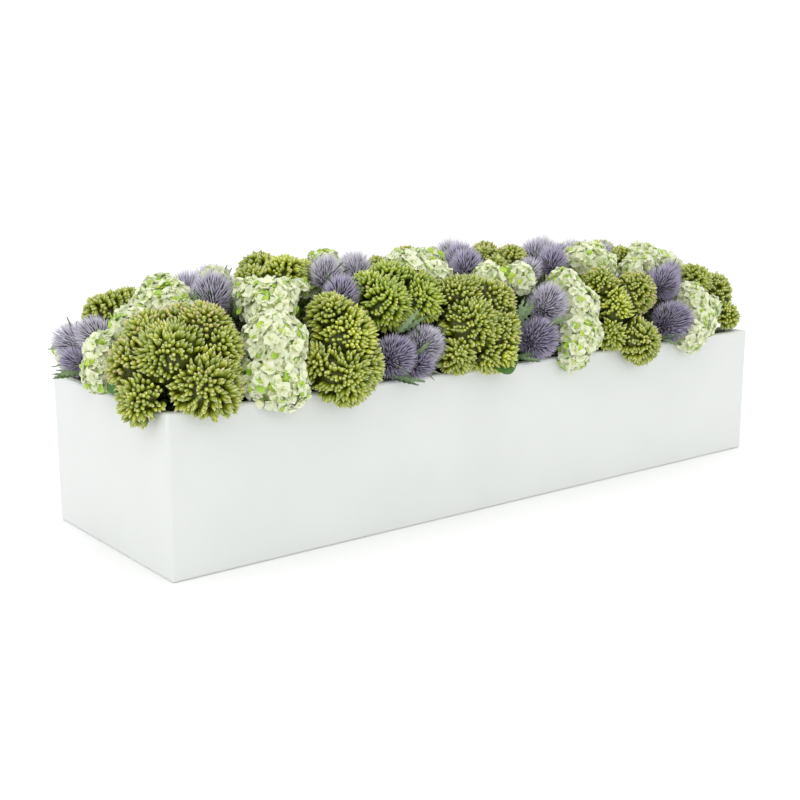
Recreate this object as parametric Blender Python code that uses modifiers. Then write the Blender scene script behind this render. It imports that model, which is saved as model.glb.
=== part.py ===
"""A long white planter filled with a low, dense mound of three kinds of flower heads.

Metres, Z up. The origin is the centre of the planter's underside, and X runs along it.
The planter holds a block of dark foam. Each spray of flowers stands in a hole in the foam
and branches to its heads: stonecrop (green, plump buds), sea holly (lilac-grey, fine
spikes, with toothed leaves) and snowball (pale, crumpled petals).
"""

import math
import random

import bmesh
import bpy
import numpy as np
from mathutils import Matrix, Vector
from mathutils.bvhtree import BVHTree

MM = 0.001
UP = Vector((0, 0, 1))

# Planter
LENGTH = 762 * MM
DEPTH = 229 * MM
HEIGHT = 143 * MM
WALL = 9 * MM
FLOOR = 12 * MM
EDGE = 2.5 * MM

# Foam: a block that fills the planter, and a rounded loaf of it above the rim
FOAM_CLEAR = 0.4 * MM
FOAM_BELOW_RIM = 14 * MM
FOAM_EDGE = 5 * MM
LOAF_LENGTH = 690 * MM
LOAF_WIDTH = 150 * MM
LOAF_RISE = 46 * MM
LOAF_ROUND = 42 * MM

# Mound: the surface on which the heads' centres lie
MOUND_HALF_LENGTH = 396 * MM
MOUND_HALF_WIDTH = 110 * MM
MOUND_RISE = 86 * MM
MOUND_LIFT = 6 * MM
DRAPE_FROM = 15 * MM
DRAPE_SLOPE = 0.7

# The powers of the mound's outline from above, of its crest and of its cross-section: from 2,
# an ellipse, they grow towards a box
PLAN_POWER = 14
CREST_POWER = 4
ACROSS_POWER = 3
HEIGHT_POWER = 2.2
END_SHARE = 0.999
SKIN_SAMPLES = 181

# The heads face away from a bar in the foam that is shorter than the loaf and lies below the rim
BAR_SHORTER = 50 * MM
BAR_NARROWER = 0.35
BAR_BELOW_RIM = 20 * MM

# Stems
STEM_RADIUS = 2.4 * MM
HOLE_RADIUS = 3.1 * MM
STEM_DEPTH = 20 * MM
STEM_UPRIGHT = 0.9
HOLE_DEPTH = 23 * MM
FORK_HEIGHT = 5 * MM
BRANCH_RADIUS = 1.7 * MM
BRANCH_SIDES = 4
STEM_SIDES = 5

# A head lower than this above the rim branches from the head before it
HANGS_BELOW = 14 * MM

# A head this near to a wall's outer face, or beyond it, hangs over the rim. The plane between it
# and the planter then leans by this much sideways for each unit down.
HANGS_OVER = 15 * MM
RIM_LEAN = 0.6

# Gap between neighbours, and the least share of its radius that a head keeps towards anything
GAP = 0.35 * MM
SMALLEST_SHARE = 0.25
NEIGHBOUR_SPAN = 2.5
TINY = 1e-6
GOLDEN_ANGLE = math.pi * (3 - math.sqrt(5))
SEED = 7

# Points of a head's core: a few, more on a larger head, spread from its crown to its underside.
# Its faces are raised to points where neighbours leave them this share of their reach.
HEAD_POINTS = 5
POINTS_PER_MM = 0.33
UNDERSIDE = 0.35
FREE_SHARE = 0.8

# For each kind: the core's radius as a share of the head's, the head's length along its axis
# over its width, and its colour and roughness
KINDS = {
    "stonecrop": dict(core=0.80, stretch=1.0, colour=(0.20, 0.27, 0.04), rough=0.5),
    "seaholly": dict(core=0.70, stretch=1.2, colour=(0.22, 0.20, 0.30), rough=0.7),
    "snowball": dict(core=0.86, stretch=1.0, colour=(0.70, 0.82, 0.52), rough=0.6),
}

# The front and the top, from the left end to the right. Each head is given in millimetres as
# its place along the planter, its climb up the mound's skin from the front rim (below zero it
# hangs in front of the wall) and its diameter. A spray's heads branch from one stem.
FRONT = (
    ("stonecrop", (-350, 190, 50), (-326, 198, 38)),
    ("seaholly", (-380, 162, 40), (-376, 130, 38), (-392, 98, 30)),
    ("snowball", (-384, 86, 44), (-394, 30, 40)),
    ("snowball", (-358, 114, 38), (-328, 158, 38), (-308, 156, 40), (-322, 122, 36), (-300, 196, 30)),
    ("seaholly", (-280, 182, 34), (-288, 122, 44)),
    ("snowball", (-258, 178, 30), (-263, 108, 38), (-232, 98, 38), (-212, 104, 26), (-242, 206, 32)),
    ("stonecrop", (-386, -1, 38), (-384, 34, 46), (-360, 80, 50)),
    ("stonecrop", (-360, 38, 62), (-342, 8, 64)),
    ("stonecrop", (-322, 66, 48), (-318, 40, 40), (-334, 86, 38)),
    ("stonecrop", (-196, 200, 52), (-196, 152, 42), (-236, 150, 38), (-165, 170, 32)),
    ("snowball", (-258, 80, 52), (-271, 40, 60), (-273, 5, 51), (-294, 12, 38)),
    ("snowball", (-122, 198, 41)),
    ("seaholly", (-162, 136, 38), (-118, 147, 35), (-180, 84, 38), (-82, 206, 29)),
    ("stonecrop", (-206, 62, 46), (-196, 38, 58)),
    ("stonecrop", (-213, 3, 60), (-184, 10, 43), (-238, 18, 38)),
    ("stonecrop", (-118, 100, 52), (-142, 64, 54), (-100, 64, 44), (-152, 88, 38), (-90, 86, 38)),
    ("stonecrop", (-74, 172, 29), (-16, 198, 43)),
    ("snowball", (-88, 110, 48), (-58, 100, 38), (-40, 148, 40), (-6, 166, 32)),
    ("seaholly", (-146, 15, 45), (-110, 22, 42), (-121, 7, 33)),
    ("seaholly", (46, 196, 42), (-2, 116, 40), (24, 156, 40)),
    ("stonecrop", (-52, 70, 42), (-8, 58, 48), (-30, 74, 38)),
    ("stonecrop", (-52, 34, 62), (-78, 8, 42)),
    ("stonecrop", (-14, 26, 48), (-20, 3, 33), (-42, 4, 34)),
    ("snowball", (4, 88, 37), (42, 83, 37)),
    ("stonecrop", (96, 196, 43), (80, 136, 42), (40, 118, 30), (142, 200, 31), (66, 168, 34)),
    ("seaholly", (180, 188, 40), (118, 112, 38), (70, 98, 30), (136, 158, 38), (172, 152, 30)),
    ("seaholly", (60, 48, 46), (37, 15, 47)),
    ("snowball", (98, 72, 40), (104, 44, 46), (96, 14, 52), (76, -4, 34)),
    ("snowball", (162, 112, 44), (184, 98, 34), (210, 136, 38)),
    ("seaholly", (222, 178, 36), (250, 156, 36), (344, 136, 40), (226, 212, 34)),
    ("stonecrop", (266, 172, 48), (262, 136, 36)),
    ("snowball", (286, 122, 48), (308, 102, 40), (220, 86, 28), (252, 100, 34)),
    ("stonecrop", (150, 68, 42), (156, 38, 42), (138, 9, 38)),
    ("stonecrop", (198, 52, 48)),
    ("stonecrop", (178, -1, 56)),
    ("seaholly", (253, 60, 43), (246, 14, 45), (286, 78, 30)),
    ("seaholly", (352, 112, 40)),
    ("stonecrop", (322, 64, 46), (360, 46, 50), (351, 11, 36), (350, 92, 34)),
    ("snowball", (290, 38, 40), (292, 10, 42), (264, -2, 38), (322, 26, 30)),
)

# The back and the ends, which carry on in columns of one kind each. A column's rows are given by
# their distance along the skin from the back rim.
BACK_PITCH = 59
BACK_COLUMNS = 12
BACK_FROM_RIM = (113, 68, 20)
BACK_SIZES = (52, 54, 58)
BACK_KINDS = ("stonecrop", "snowball", "seaholly", "stonecrop", "snowball")
END_HEADS = (
    ("snowball", (-366, 222, 42), (-350, 252, 42), (-328, 246, 46), (-312, 282, 48)),
    ("snowball", (366, 94, 40), (388, 82, 44), (380, 142, 46)),
    ("stonecrop", (382, 40, 46), (393, 16, 42), (393, 46, 38)),
    ("seaholly", (376, 182, 48), (391, 114, 42), (366, 222, 46), (340, 264, 50)),
)
CLEAR_OF_FRONT = 33 * MM

# Leaves: each sea holly head has a toothed one, the longest that fits beside it
LEAF_TRIES = 14
LEAF_TILT = math.radians(62)
LEAF_WIDTH = 9 * MM
LEAF_THICKNESS = 0.9 * MM
LEAF_LENGTHS = [n * MM for n in (40, 36, 32, 28)]
LEAF_STATIONS = 4
LEAF_NOTCH = 0.55
LEAF_ROOT = 0.12
LEAF_TAPER = 0.82
LEAF_EDGE = 0.4 * MM
LEAF_WIDEST = 0.7
LEAF_CLEAR = 2 * MM
LEAF_SHOWS = 5 * MM

# One broad smooth leaf lies on the front rim, under the stonecrop head with this place and climb
RIM_LEAF_HEAD = (-20, 3)
RIM_LEAF_WAY = Vector((0.8, -0.35, -0.5))
RIM_LEAF_FACE = Vector((0.2, -0.8, 0.5))
RIM_LEAF_LENGTH = 36 * MM
RIM_LEAF_WIDTH = 26 * MM
RIM_LEAF_STATIONS = 6


def clear_scene():
    for obj in list(bpy.data.objects):
        bpy.data.objects.remove(obj, do_unlink=True)


def make_material(name, colour, roughness):
    material = bpy.data.materials.new(name)
    material.use_nodes = True
    shader = material.node_tree.nodes["Principled BSDF"]
    shader.inputs["Base Color"].default_value = (*colour, 1)
    shader.inputs["Roughness"].default_value = roughness
    material.diffuse_color = (*colour, 1)
    return material


def add_object(name, mesh, collection, material=None):
    obj = bpy.data.objects.new(name, mesh)
    if material:
        mesh.materials.append(material)
    collection.objects.link(obj)
    return obj


def mesh_from(bm, name):
    bmesh.ops.recalc_face_normals(bm, faces=bm.faces)
    mesh = bpy.data.meshes.new(name)
    bm.to_mesh(mesh)
    bm.free()
    return mesh


def box(low, high):
    """A box between two corners, as a bmesh."""
    low = Vector(low)
    high = Vector(high)
    place = Matrix.Translation((high + low) / 2) @ Matrix.Diagonal((*(high - low), 1))
    bm = bmesh.new()
    bmesh.ops.create_cube(bm, size=1, matrix=place)
    return bm


def boolean(obj, operation, operand, solver="EXACT"):
    """Adds a Boolean with one object or with all of a collection."""
    modifier = obj.modifiers.new(operation.lower(), "BOOLEAN")
    modifier.operation = operation
    modifier.solver = solver
    if isinstance(operand, bpy.types.Collection):
        modifier.operand_type = "COLLECTION"
        modifier.collection = operand
    else:
        modifier.object = operand
    return modifier


def apply_modifiers(obj):
    graph = bpy.context.evaluated_depsgraph_get()
    mesh = bpy.data.meshes.new_from_object(obj.evaluated_get(graph))
    obj.modifiers.clear()
    obj.data = mesh


def joined(name, meshes, parts, material):
    """One body from overlapping closed meshes: a Boolean union on a collection."""
    pieces = bpy.data.collections.new(name + "_pieces")
    bpy.context.scene.collection.children.link(pieces)
    for index, mesh in enumerate(meshes[1:]):
        add_object(f"{name}_piece_{index}", mesh, pieces)
    obj = add_object(name, meshes[0], parts, material)
    boolean(obj, "UNION", pieces, "MANIFOLD")
    apply_modifiers(obj)
    for piece in list(pieces.objects):
        bpy.data.objects.remove(piece, do_unlink=True)
    bpy.data.collections.remove(pieces)
    obj.data.materials.clear()
    obj.data.materials.append(material)
    return obj


def make_planter(parts, cutters):
    block = box((-LENGTH / 2, -DEPTH / 2, 0), (LENGTH / 2, DEPTH / 2, HEIGHT))
    white = make_material("planter_white", (0.83, 0.84, 0.82), 0.45)
    planter = add_object("planter", mesh_from(block, "planter"), parts, white)
    half_length = LENGTH / 2 - WALL
    half_depth = DEPTH / 2 - WALL
    hollow = box((-half_length, -half_depth, FLOOR), (half_length, half_depth, HEIGHT + WALL))
    cavity = add_object("cavity", mesh_from(hollow, "cavity"), cutters)
    cavity.hide_render = True
    cavity.display_type = "WIRE"
    boolean(planter, "DIFFERENCE", cavity)
    bevel = planter.modifiers.new("rounded edges", "BEVEL")
    bevel.width = EDGE
    bevel.segments = 2
    bevel.limit_method = "ANGLE"
    return planter


def loaf():
    """The rounded part of the foam above the rim, which starts inside the block."""
    bottom = HEIGHT - 2 * FOAM_BELOW_RIM
    top = HEIGHT + LOAF_RISE
    bm = box((-LOAF_LENGTH / 2, -LOAF_WIDTH / 2, bottom), (LOAF_LENGTH / 2, LOAF_WIDTH / 2, top))
    edges = [e for e in bm.edges if all(v.co.z > top - MM for v in e.verts)]
    bmesh.ops.bevel(bm, geom=edges, offset=LOAF_ROUND, segments=4, profile=0.5, affect="EDGES")
    return bm


def section(x):
    """The mound's cross-section at x, from the front rim over the top to the back rim.

    It returns the places across the planter, the heights and the distances along the skin.
    """
    share = min(abs(x) / MOUND_HALF_LENGTH, END_SHARE)
    half_width = MOUND_HALF_WIDTH * (1 - share**PLAN_POWER) ** (1 / ACROSS_POWER)
    rise = MOUND_RISE * (1 - share**CREST_POWER) ** (1 / HEIGHT_POWER)
    turn = np.linspace(0, math.pi, SKIN_SAMPLES)
    across = -half_width * np.sign(np.cos(turn)) * np.abs(np.cos(turn)) ** (2 / ACROSS_POWER)
    height = rise * np.abs(np.sin(turn)) ** (2 / HEIGHT_POWER)
    steps = np.hypot(np.diff(across), np.diff(height))
    return across, height, np.concatenate([[0], np.cumsum(steps)])


def on_mound(x, climb):
    """The point of the mound at x, this far up its skin from the front rim."""
    across, height, distance = section(x)
    y = float(np.interp(climb, distance, across))
    z = float(np.interp(climb, distance, height)) + min(climb, 0)
    past = climb - (distance[-1] - DRAPE_FROM)
    y -= DRAPE_SLOPE * max(0, DRAPE_FROM - climb)
    y += DRAPE_SLOPE * max(0, past)
    z -= max(0, past - DRAPE_FROM)
    return Vector((x, y, HEIGHT + MOUND_LIFT + z))


def outward(centre):
    """The way a head faces: away from the bar in the foam."""
    half = LOAF_LENGTH / 2 - BAR_SHORTER
    along = max(-half, min(half, centre.x))
    bar = Vector((along, centre.y * BAR_NARROWER, HEIGHT - BAR_BELOW_RIM))
    return (centre - bar).normalized()


class Head:
    """One flower head: its centre, size and direction, and the planes it stays behind."""

    def __init__(self, kind, x, climb, size):
        self.kind = kind
        self.place = (x, climb)
        self.centre = on_mound(x * MM, climb * MM)
        self.radius = size * MM / 2
        self.axis = outward(self.centre)
        self.planes = []

    def stay_behind(self, point, clearance):
        """Keeps the head on its side of a plane across the line to this point."""
        away = point - self.centre
        reach = max(away.length - clearance, SMALLEST_SHARE * self.radius)
        self.planes.append((away.normalized(), reach))

    def limit(self, direction, wanted):
        """How far the head may reach in this direction."""
        for normal, reach in self.planes:
            towards = direction.dot(normal)
            if towards > TINY:
                wanted = min(wanted, reach / towards)
        return wanted

    def holds(self, point, margin):
        offset = point - self.centre
        return all(offset.dot(normal) < reach - margin for normal, reach in self.planes)


class Spray:
    """Heads of one kind on one stem."""

    def __init__(self, kind, rows):
        self.kind = kind
        self.heads = [Head(kind, *row) for row in rows]
        self.name = ""

    def plant(self, foam_tree):
        """Finds where the stem leaves the foam and where it forks."""
        centre = sum((h.centre for h in self.heads), Vector()) / len(self.heads)
        foot, normal, _, _ = foam_tree.find_nearest(centre)
        self.foot = foot
        self.normal = (normal + UP * STEM_UPRIGHT).normalized()
        self.fork = foot + self.normal * FORK_HEIGHT
        self.branches = []
        for index, head in enumerate(self.heads):
            start = foot + self.normal * (FORK_HEIGHT / 2)
            if index and head.centre.z < HEIGHT + HANGS_BELOW:
                start = self.heads[index - 1].centre
            self.branches.append((start, head.centre))


def nearest_in_box(point):
    """The point of the planter's outer box that is nearest to this one."""
    x = max(-LENGTH / 2, min(LENGTH / 2, point.x))
    y = max(-DEPTH / 2, min(DEPTH / 2, point.y))
    z = max(0, min(HEIGHT, point.z))
    return Vector((x, y, z))


def plane_off_planter(centre):
    """A plane between this point and the planter, as its normal and its distance.

    Near a wall the plane leans about the rim, so that a head there can hang over the edge.
    """
    edge = nearest_in_box(centre)
    way = edge - centre
    lean = RIM_LEAN * way.length
    for axis, half in enumerate((LENGTH / 2, DEPTH / 2)):
        if centre.z > HEIGHT and abs(centre[axis]) > half - HANGS_OVER:
            edge[axis] = math.copysign(half, centre[axis])
            way[axis] -= math.copysign(lean, centre[axis])
    way.normalize()
    return way, (edge - centre).dot(way)


def nearest_on_segment(point, start, end):
    along = end - start
    share = (point - start).dot(along) / along.length_squared
    return start + along * max(0, min(1, share))


def settle(sprays, foam_tree):
    """Gives every head the planes that part it from its neighbours, the foam and the planter."""
    heads = [(head, spray) for spray in sprays for head in spray.heads]
    for head, spray in heads:
        for other, _ in heads:
            if other is head:
                continue
            between = other.centre - head.centre
            span = between.length
            if span > NEIGHBOUR_SPAN * (head.radius + other.radius):
                continue
            share = (span**2 + head.radius**2 - other.radius**2) / (2 * span)
            head.planes.append((between / span, share - GAP / 2))
        normal, reach = plane_off_planter(head.centre)
        head.planes.append((normal, reach - GAP))
        head.stay_behind(foam_tree.find_nearest(head.centre)[0], GAP)
        for other_spray in sprays:
            if other_spray is spray:
                continue
            for start, end in other_spray.branches:
                near = nearest_on_segment(head.centre, start, end)
                if (near - head.centre).length < 2 * head.radius:
                    head.stay_behind(near, BRANCH_RADIUS + GAP)


def head_mesh(head, turn):
    """A convex ball of evenly spread points whose faces are raised or sunk to points."""
    kind = KINDS[head.kind]
    count = HEAD_POINTS + round(head.radius / MM * POINTS_PER_MM)
    upright = UP.rotation_difference(head.axis)
    bm = bmesh.new()
    for index in range(count):
        height = 1 - (1 + UNDERSIDE) * (2 * index + 1) / (2 * count)
        angle = index * GOLDEN_ANGLE + turn
        ring = math.sqrt(1 - height**2)
        bm.verts.new(upright @ Vector((ring * math.cos(angle), ring * math.sin(angle), height)))
    bm.verts.new(upright @ -UP)
    bmesh.ops.convex_hull(bm, input=bm.verts)

    def tip_radius(direction):
        along = direction.dot(head.axis)
        return head.radius / math.sqrt(1 - along**2 + (along / kind["stretch"]) ** 2)

    outer = []
    for face in bm.faces:
        direction = face.calc_center_median().normalized()
        wanted = tip_radius(direction)
        free = head.limit(direction, wanted) > FREE_SHARE * wanted
        if free and direction.dot(head.axis) > -UNDERSIDE:
            outer.append(face)
    tips = set(bmesh.ops.poke(bm, faces=outer)["verts"])
    for vert in bm.verts:
        direction = vert.co.normalized()
        share = 1 if vert in tips else kind["core"]
        reach = head.limit(direction, tip_radius(direction) * share)
        vert.co = head.centre + direction * reach
    return mesh_from(bm, head.kind)


def tube(start, end, radius, sides):
    along = end - start
    turned = UP.rotation_difference(along).to_matrix().to_4x4()
    bm = bmesh.new()
    bmesh.ops.create_cone(
        bm,
        cap_ends=True,
        segments=sides,
        radius1=radius,
        radius2=radius,
        depth=along.length,
        matrix=Matrix.Translation((start + end) / 2) @ turned,
    )
    return mesh_from(bm, "stem")


def leaf_mesh(head, direction, face_normal, length, width, stations, notch):
    """A thin blade from the head's centre, kept inside the head's own share of the space.

    It is a grid narrowed by a formula and given its thickness. A notch under 1 makes teeth.
    """
    side = direction.cross(face_normal).normalized()
    normal = side.cross(direction)
    bm = bmesh.new()
    bmesh.ops.create_grid(bm, x_segments=stations, y_segments=1, size=0.5)
    for vert in bm.verts:
        along = vert.co.x + 0.5
        tooth = 1 if round(along * stations) % 2 else notch
        belly = math.sin(math.pi * (LEAF_ROOT + LEAF_TAPER * along))
        across = math.copysign(width / 2 * tooth * belly + LEAF_EDGE, vert.co.y)
        vert.co = direction * (along * length) + side * across
    bmesh.ops.recalc_face_normals(bm, faces=bm.faces)
    grown = bmesh.ops.extrude_face_region(bm, geom=list(bm.faces))
    for item in grown["geom"]:
        if isinstance(item, bmesh.types.BMVert):
            item.co += normal * LEAF_THICKNESS
    for vert in bm.verts:
        way = vert.co.normalized()
        vert.co = head.centre + way * head.limit(way, vert.co.length)
    return mesh_from(bm, "leaf")


def toothed_leaf(head, draw):
    """The longest leaf that fits between this head and its neighbours, if any does."""
    side = head.axis.orthogonal().normalized()
    best = 0
    way = None
    start_angle = draw.uniform(0, 2 * math.pi)
    for index in range(LEAF_TRIES):
        spin = Matrix.Rotation(start_angle + 2 * math.pi * index / LEAF_TRIES, 3, head.axis)
        direction = Matrix.Rotation(LEAF_TILT, 3, spin @ side) @ head.axis
        across = direction.cross(head.axis).normalized() * (LEAF_WIDTH / 2)
        for length in LEAF_LENGTHS:
            middle = head.centre + direction * (LEAF_WIDEST * length)
            corners = (head.centre + direction * length, middle + across, middle - across)
            fits = all(head.holds(corner, LEAF_CLEAR) for corner in corners)
            if fits and length > max(best, head.radius + LEAF_SHOWS):
                best = length
                way = direction
    if not way:
        return []
    return [leaf_mesh(head, way, head.axis, best, LEAF_WIDTH, LEAF_STATIONS, LEAF_NOTCH)]


def rim_leaf(head):
    way = RIM_LEAF_WAY.normalized()
    return leaf_mesh(
        head, way, RIM_LEAF_FACE, RIM_LEAF_LENGTH, RIM_LEAF_WIDTH, RIM_LEAF_STATIONS, notch=1
    )


def back_sprays(front):
    """Columns of heads down the back of the mound, where the front's heads leave room."""
    taken = [head.centre for spray in front for head in spray.heads]
    sprays = []
    for column in range(BACK_COLUMNS):
        x = (column - (BACK_COLUMNS - 1) / 2) * BACK_PITCH
        kind = BACK_KINDS[column % len(BACK_KINDS)]
        rows = []
        for row, (from_rim, size) in enumerate(zip(BACK_FROM_RIM, BACK_SIZES)):
            shifted = x + BACK_PITCH / 4 * (-1) ** row
            climb = section(shifted * MM)[2][-1] / MM - from_rim
            centre = on_mound(shifted * MM, climb * MM)
            if all((centre - other).length > CLEAR_OF_FRONT for other in taken):
                rows.append((shifted, climb, size))
        if rows:
            sprays.append(Spray(kind, rows))
    return sprays


def make_foam(parts, cutters, sprays):
    half_length = LENGTH / 2 - WALL - FOAM_CLEAR
    half_depth = DEPTH / 2 - WALL - FOAM_CLEAR
    top = HEIGHT - FOAM_BELOW_RIM
    block = box((-half_length, -half_depth, FLOOR + FOAM_CLEAR), (half_length, half_depth, top))
    upright = [e for e in block.edges if abs(e.verts[0].co.z - e.verts[1].co.z) > MM]
    bmesh.ops.bevel(block, geom=upright, offset=FOAM_EDGE, segments=2, profile=0.5, affect="EDGES")
    low = [e for e in block.edges if all(v.co.z < FLOOR + MM for v in e.verts)]
    bmesh.ops.bevel(block, geom=low, offset=FOAM_EDGE, segments=1, profile=0.5, affect="EDGES")
    material = make_material("foam_dark", (0.03, 0.028, 0.02), 0.9)
    foam = joined("foam", [mesh_from(block, "block"), mesh_from(loaf(), "loaf")], parts, material)
    holes = bpy.data.collections.new("stem_holes")
    cutters.children.link(holes)
    for spray in sprays:
        outer = spray.foot + spray.normal * FORK_HEIGHT
        inner = spray.foot - spray.normal * HOLE_DEPTH
        hole = add_object("hole_" + spray.name, tube(inner, outer, HOLE_RADIUS, STEM_SIDES), holes)
        hole.hide_render = True
    boolean(foam, "DIFFERENCE", holes)
    apply_modifiers(foam)
    return foam


def make_spray(spray, parts, material, draw):
    inner = spray.foot - spray.normal * STEM_DEPTH
    meshes = [tube(inner, spray.fork, STEM_RADIUS, STEM_SIDES)]
    for start, end in spray.branches:
        meshes.append(tube(start, end, BRANCH_RADIUS, BRANCH_SIDES))
    for head in spray.heads:
        meshes.append(head_mesh(head, draw.uniform(0, 2 * math.pi)))
        if head.kind == "seaholly":
            meshes.extend(toothed_leaf(head, draw))
        if head.place == RIM_LEAF_HEAD:
            meshes.append(rim_leaf(head))
    return joined(spray.name, meshes, parts, material)


def main():
    clear_scene()
    draw = random.Random(SEED)
    parts = bpy.data.collections.new("flower_box")
    cutters = bpy.data.collections.new("cutters")
    bpy.context.scene.collection.children.link(parts)
    bpy.context.scene.collection.children.link(cutters)

    sprays = [Spray(kind, rows) for kind, *rows in FRONT]
    sprays += [Spray(kind, rows) for kind, *rows in END_HEADS]
    sprays += back_sprays(sprays)
    foam_tree = BVHTree.FromBMesh(loaf())
    counts = {}
    for spray in sprays:
        counts[spray.kind] = counts.get(spray.kind, 0) + 1
        spray.name = f"{spray.kind}_{counts[spray.kind]:02d}"
        spray.plant(foam_tree)
    settle(sprays, foam_tree)

    make_planter(parts, cutters)
    make_foam(parts, cutters, sprays)
    materials = {name: make_material(name, k["colour"], k["rough"]) for name, k in KINDS.items()}
    for spray in sprays:
        make_spray(spray, parts, materials[spray.kind], draw)
    print("sprays", counts, "heads", sum(len(s.heads) for s in sprays))


main()
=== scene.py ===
# %% [markdown]
# # A planter filled with stonecrop, sea holly and snowball blooms
#
# The object is a long white planter with a low mound of flowers. Three kinds of flower repeat in
# blocks of one kind each: green stonecrop (hundreds of plump pointed buds), lilac-grey sea holly
# (fine bristles) and pale snowball blooms (small ruffled petals with some lime green ones).
#
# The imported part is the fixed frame. Its planter and foam stay and get finer materials. Each
# flower spray there is a plain solid of the right size and place, so here every spray is replaced
# by one whose buds, bristles or petals can be seen.

import math
from types import SimpleNamespace

import bmesh
import bpy
import numpy as np
from mathutils import Matrix, Vector
from mathutils.bvhtree import BVHTree


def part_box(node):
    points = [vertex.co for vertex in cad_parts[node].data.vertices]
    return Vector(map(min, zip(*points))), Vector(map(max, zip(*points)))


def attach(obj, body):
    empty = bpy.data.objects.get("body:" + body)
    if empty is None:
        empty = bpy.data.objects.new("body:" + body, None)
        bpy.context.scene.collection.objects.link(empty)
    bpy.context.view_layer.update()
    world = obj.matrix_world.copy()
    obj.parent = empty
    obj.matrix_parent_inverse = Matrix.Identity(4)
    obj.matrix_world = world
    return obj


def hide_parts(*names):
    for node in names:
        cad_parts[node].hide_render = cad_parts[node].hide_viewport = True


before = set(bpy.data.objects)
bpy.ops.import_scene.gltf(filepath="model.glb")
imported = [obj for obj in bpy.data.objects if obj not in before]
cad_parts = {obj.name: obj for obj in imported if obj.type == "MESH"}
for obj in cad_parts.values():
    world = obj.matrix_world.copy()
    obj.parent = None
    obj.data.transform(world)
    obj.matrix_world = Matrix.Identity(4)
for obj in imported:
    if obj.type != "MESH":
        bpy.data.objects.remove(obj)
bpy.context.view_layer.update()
print("solids in the frame:", len(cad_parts))

# %% [markdown]
# ## Where the flowers are
#
# The arranger pushed each stem into the foam so that the heads form one rounded mound. A head is
# therefore given by its place along the planter, its climb up the mound's skin from the front rim,
# and its diameter, all in millimetres. The list runs from the left end to the right, first the
# front and the top, then the two ends. The back follows a rule of its own further down.

# %% The heads of each spray
MM = 0.001

PLAN = (
    ("stonecrop", (-350, 190, 50), (-326, 198, 38)),
    ("seaholly", (-380, 162, 40), (-376, 130, 38), (-392, 98, 30)),
    ("snowball", (-384, 86, 44), (-394, 30, 40)),
    ("snowball", (-358, 114, 38), (-328, 158, 38), (-308, 156, 40), (-322, 122, 36), (-300, 196, 30)),
    ("seaholly", (-280, 182, 34), (-288, 122, 44)),
    ("snowball", (-258, 178, 30), (-263, 108, 38), (-232, 98, 38), (-212, 104, 26), (-242, 206, 32)),
    ("stonecrop", (-386, -1, 38), (-384, 34, 46), (-360, 80, 50)),
    ("stonecrop", (-360, 38, 62), (-342, 8, 64)),
    ("stonecrop", (-322, 66, 48), (-318, 40, 40), (-334, 86, 38)),
    ("stonecrop", (-196, 200, 52), (-196, 152, 42), (-236, 150, 38), (-165, 170, 32)),
    ("snowball", (-258, 80, 52), (-271, 40, 60), (-273, 5, 51), (-294, 12, 38)),
    ("snowball", (-122, 198, 41)),
    ("seaholly", (-162, 136, 38), (-118, 147, 35), (-180, 84, 38), (-82, 206, 29)),
    ("stonecrop", (-206, 62, 46), (-196, 38, 58)),
    ("stonecrop", (-213, 3, 60), (-184, 10, 43), (-238, 18, 38)),
    ("stonecrop", (-118, 100, 52), (-142, 64, 54), (-100, 64, 44), (-152, 88, 38), (-90, 86, 38)),
    ("stonecrop", (-74, 172, 29), (-16, 198, 43)),
    ("snowball", (-88, 110, 48), (-58, 100, 38), (-40, 148, 40), (-6, 166, 32)),
    ("seaholly", (-146, 15, 45), (-110, 22, 42), (-121, 7, 33)),
    ("seaholly", (46, 196, 42), (-2, 116, 40), (24, 156, 40)),
    ("stonecrop", (-52, 70, 42), (-8, 58, 48), (-30, 74, 38)),
    ("stonecrop", (-52, 34, 62), (-78, 8, 42)),
    ("stonecrop", (-14, 26, 48), (-20, 3, 33), (-42, 4, 34)),
    ("snowball", (4, 88, 37), (42, 83, 37)),
    ("stonecrop", (96, 196, 43), (80, 136, 42), (40, 118, 30), (142, 200, 31), (66, 168, 34)),
    ("seaholly", (180, 188, 40), (118, 112, 38), (70, 98, 30), (136, 158, 38), (172, 152, 30)),
    ("seaholly", (60, 48, 46), (37, 15, 47)),
    ("snowball", (98, 72, 40), (104, 44, 46), (96, 14, 52), (76, -4, 34)),
    ("snowball", (162, 112, 44), (184, 98, 34), (210, 136, 38)),
    ("seaholly", (222, 178, 36), (250, 156, 36), (344, 136, 40), (226, 212, 34)),
    ("stonecrop", (266, 172, 48), (262, 136, 36)),
    ("snowball", (286, 122, 48), (308, 102, 40), (220, 86, 28), (252, 100, 34)),
    ("stonecrop", (150, 68, 42), (156, 38, 42), (138, 9, 38)),
    ("stonecrop", (198, 52, 48)),
    ("stonecrop", (178, -1, 56)),
    ("seaholly", (253, 60, 43), (246, 14, 45), (286, 78, 30)),
    ("seaholly", (352, 112, 40)),
    ("stonecrop", (322, 64, 46), (360, 46, 50), (351, 11, 36), (350, 92, 34)),
    ("snowball", (290, 38, 40), (292, 10, 42), (264, -2, 38), (322, 26, 30)),
    ("snowball", (-366, 222, 42), (-350, 252, 42), (-328, 246, 46), (-312, 282, 48)),
    ("snowball", (366, 94, 40), (388, 82, 44), (380, 142, 46)),
    ("stonecrop", (382, 40, 46), (393, 16, 42), (393, 46, 38)),
    ("seaholly", (376, 182, 48), (391, 114, 42), (366, 222, 46), (340, 264, 50)),
)
print("sprays listed:", len(PLAN))

# %% [markdown]
# The mound is a rounded loaf: its outline from above, its crest and its cross-section are all
# superellipses, which run from an ellipse (power 2) towards a box as the power grows. At the front
# rim it hangs over the edge a little, because the lowest heads droop in front of the wall.

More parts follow.
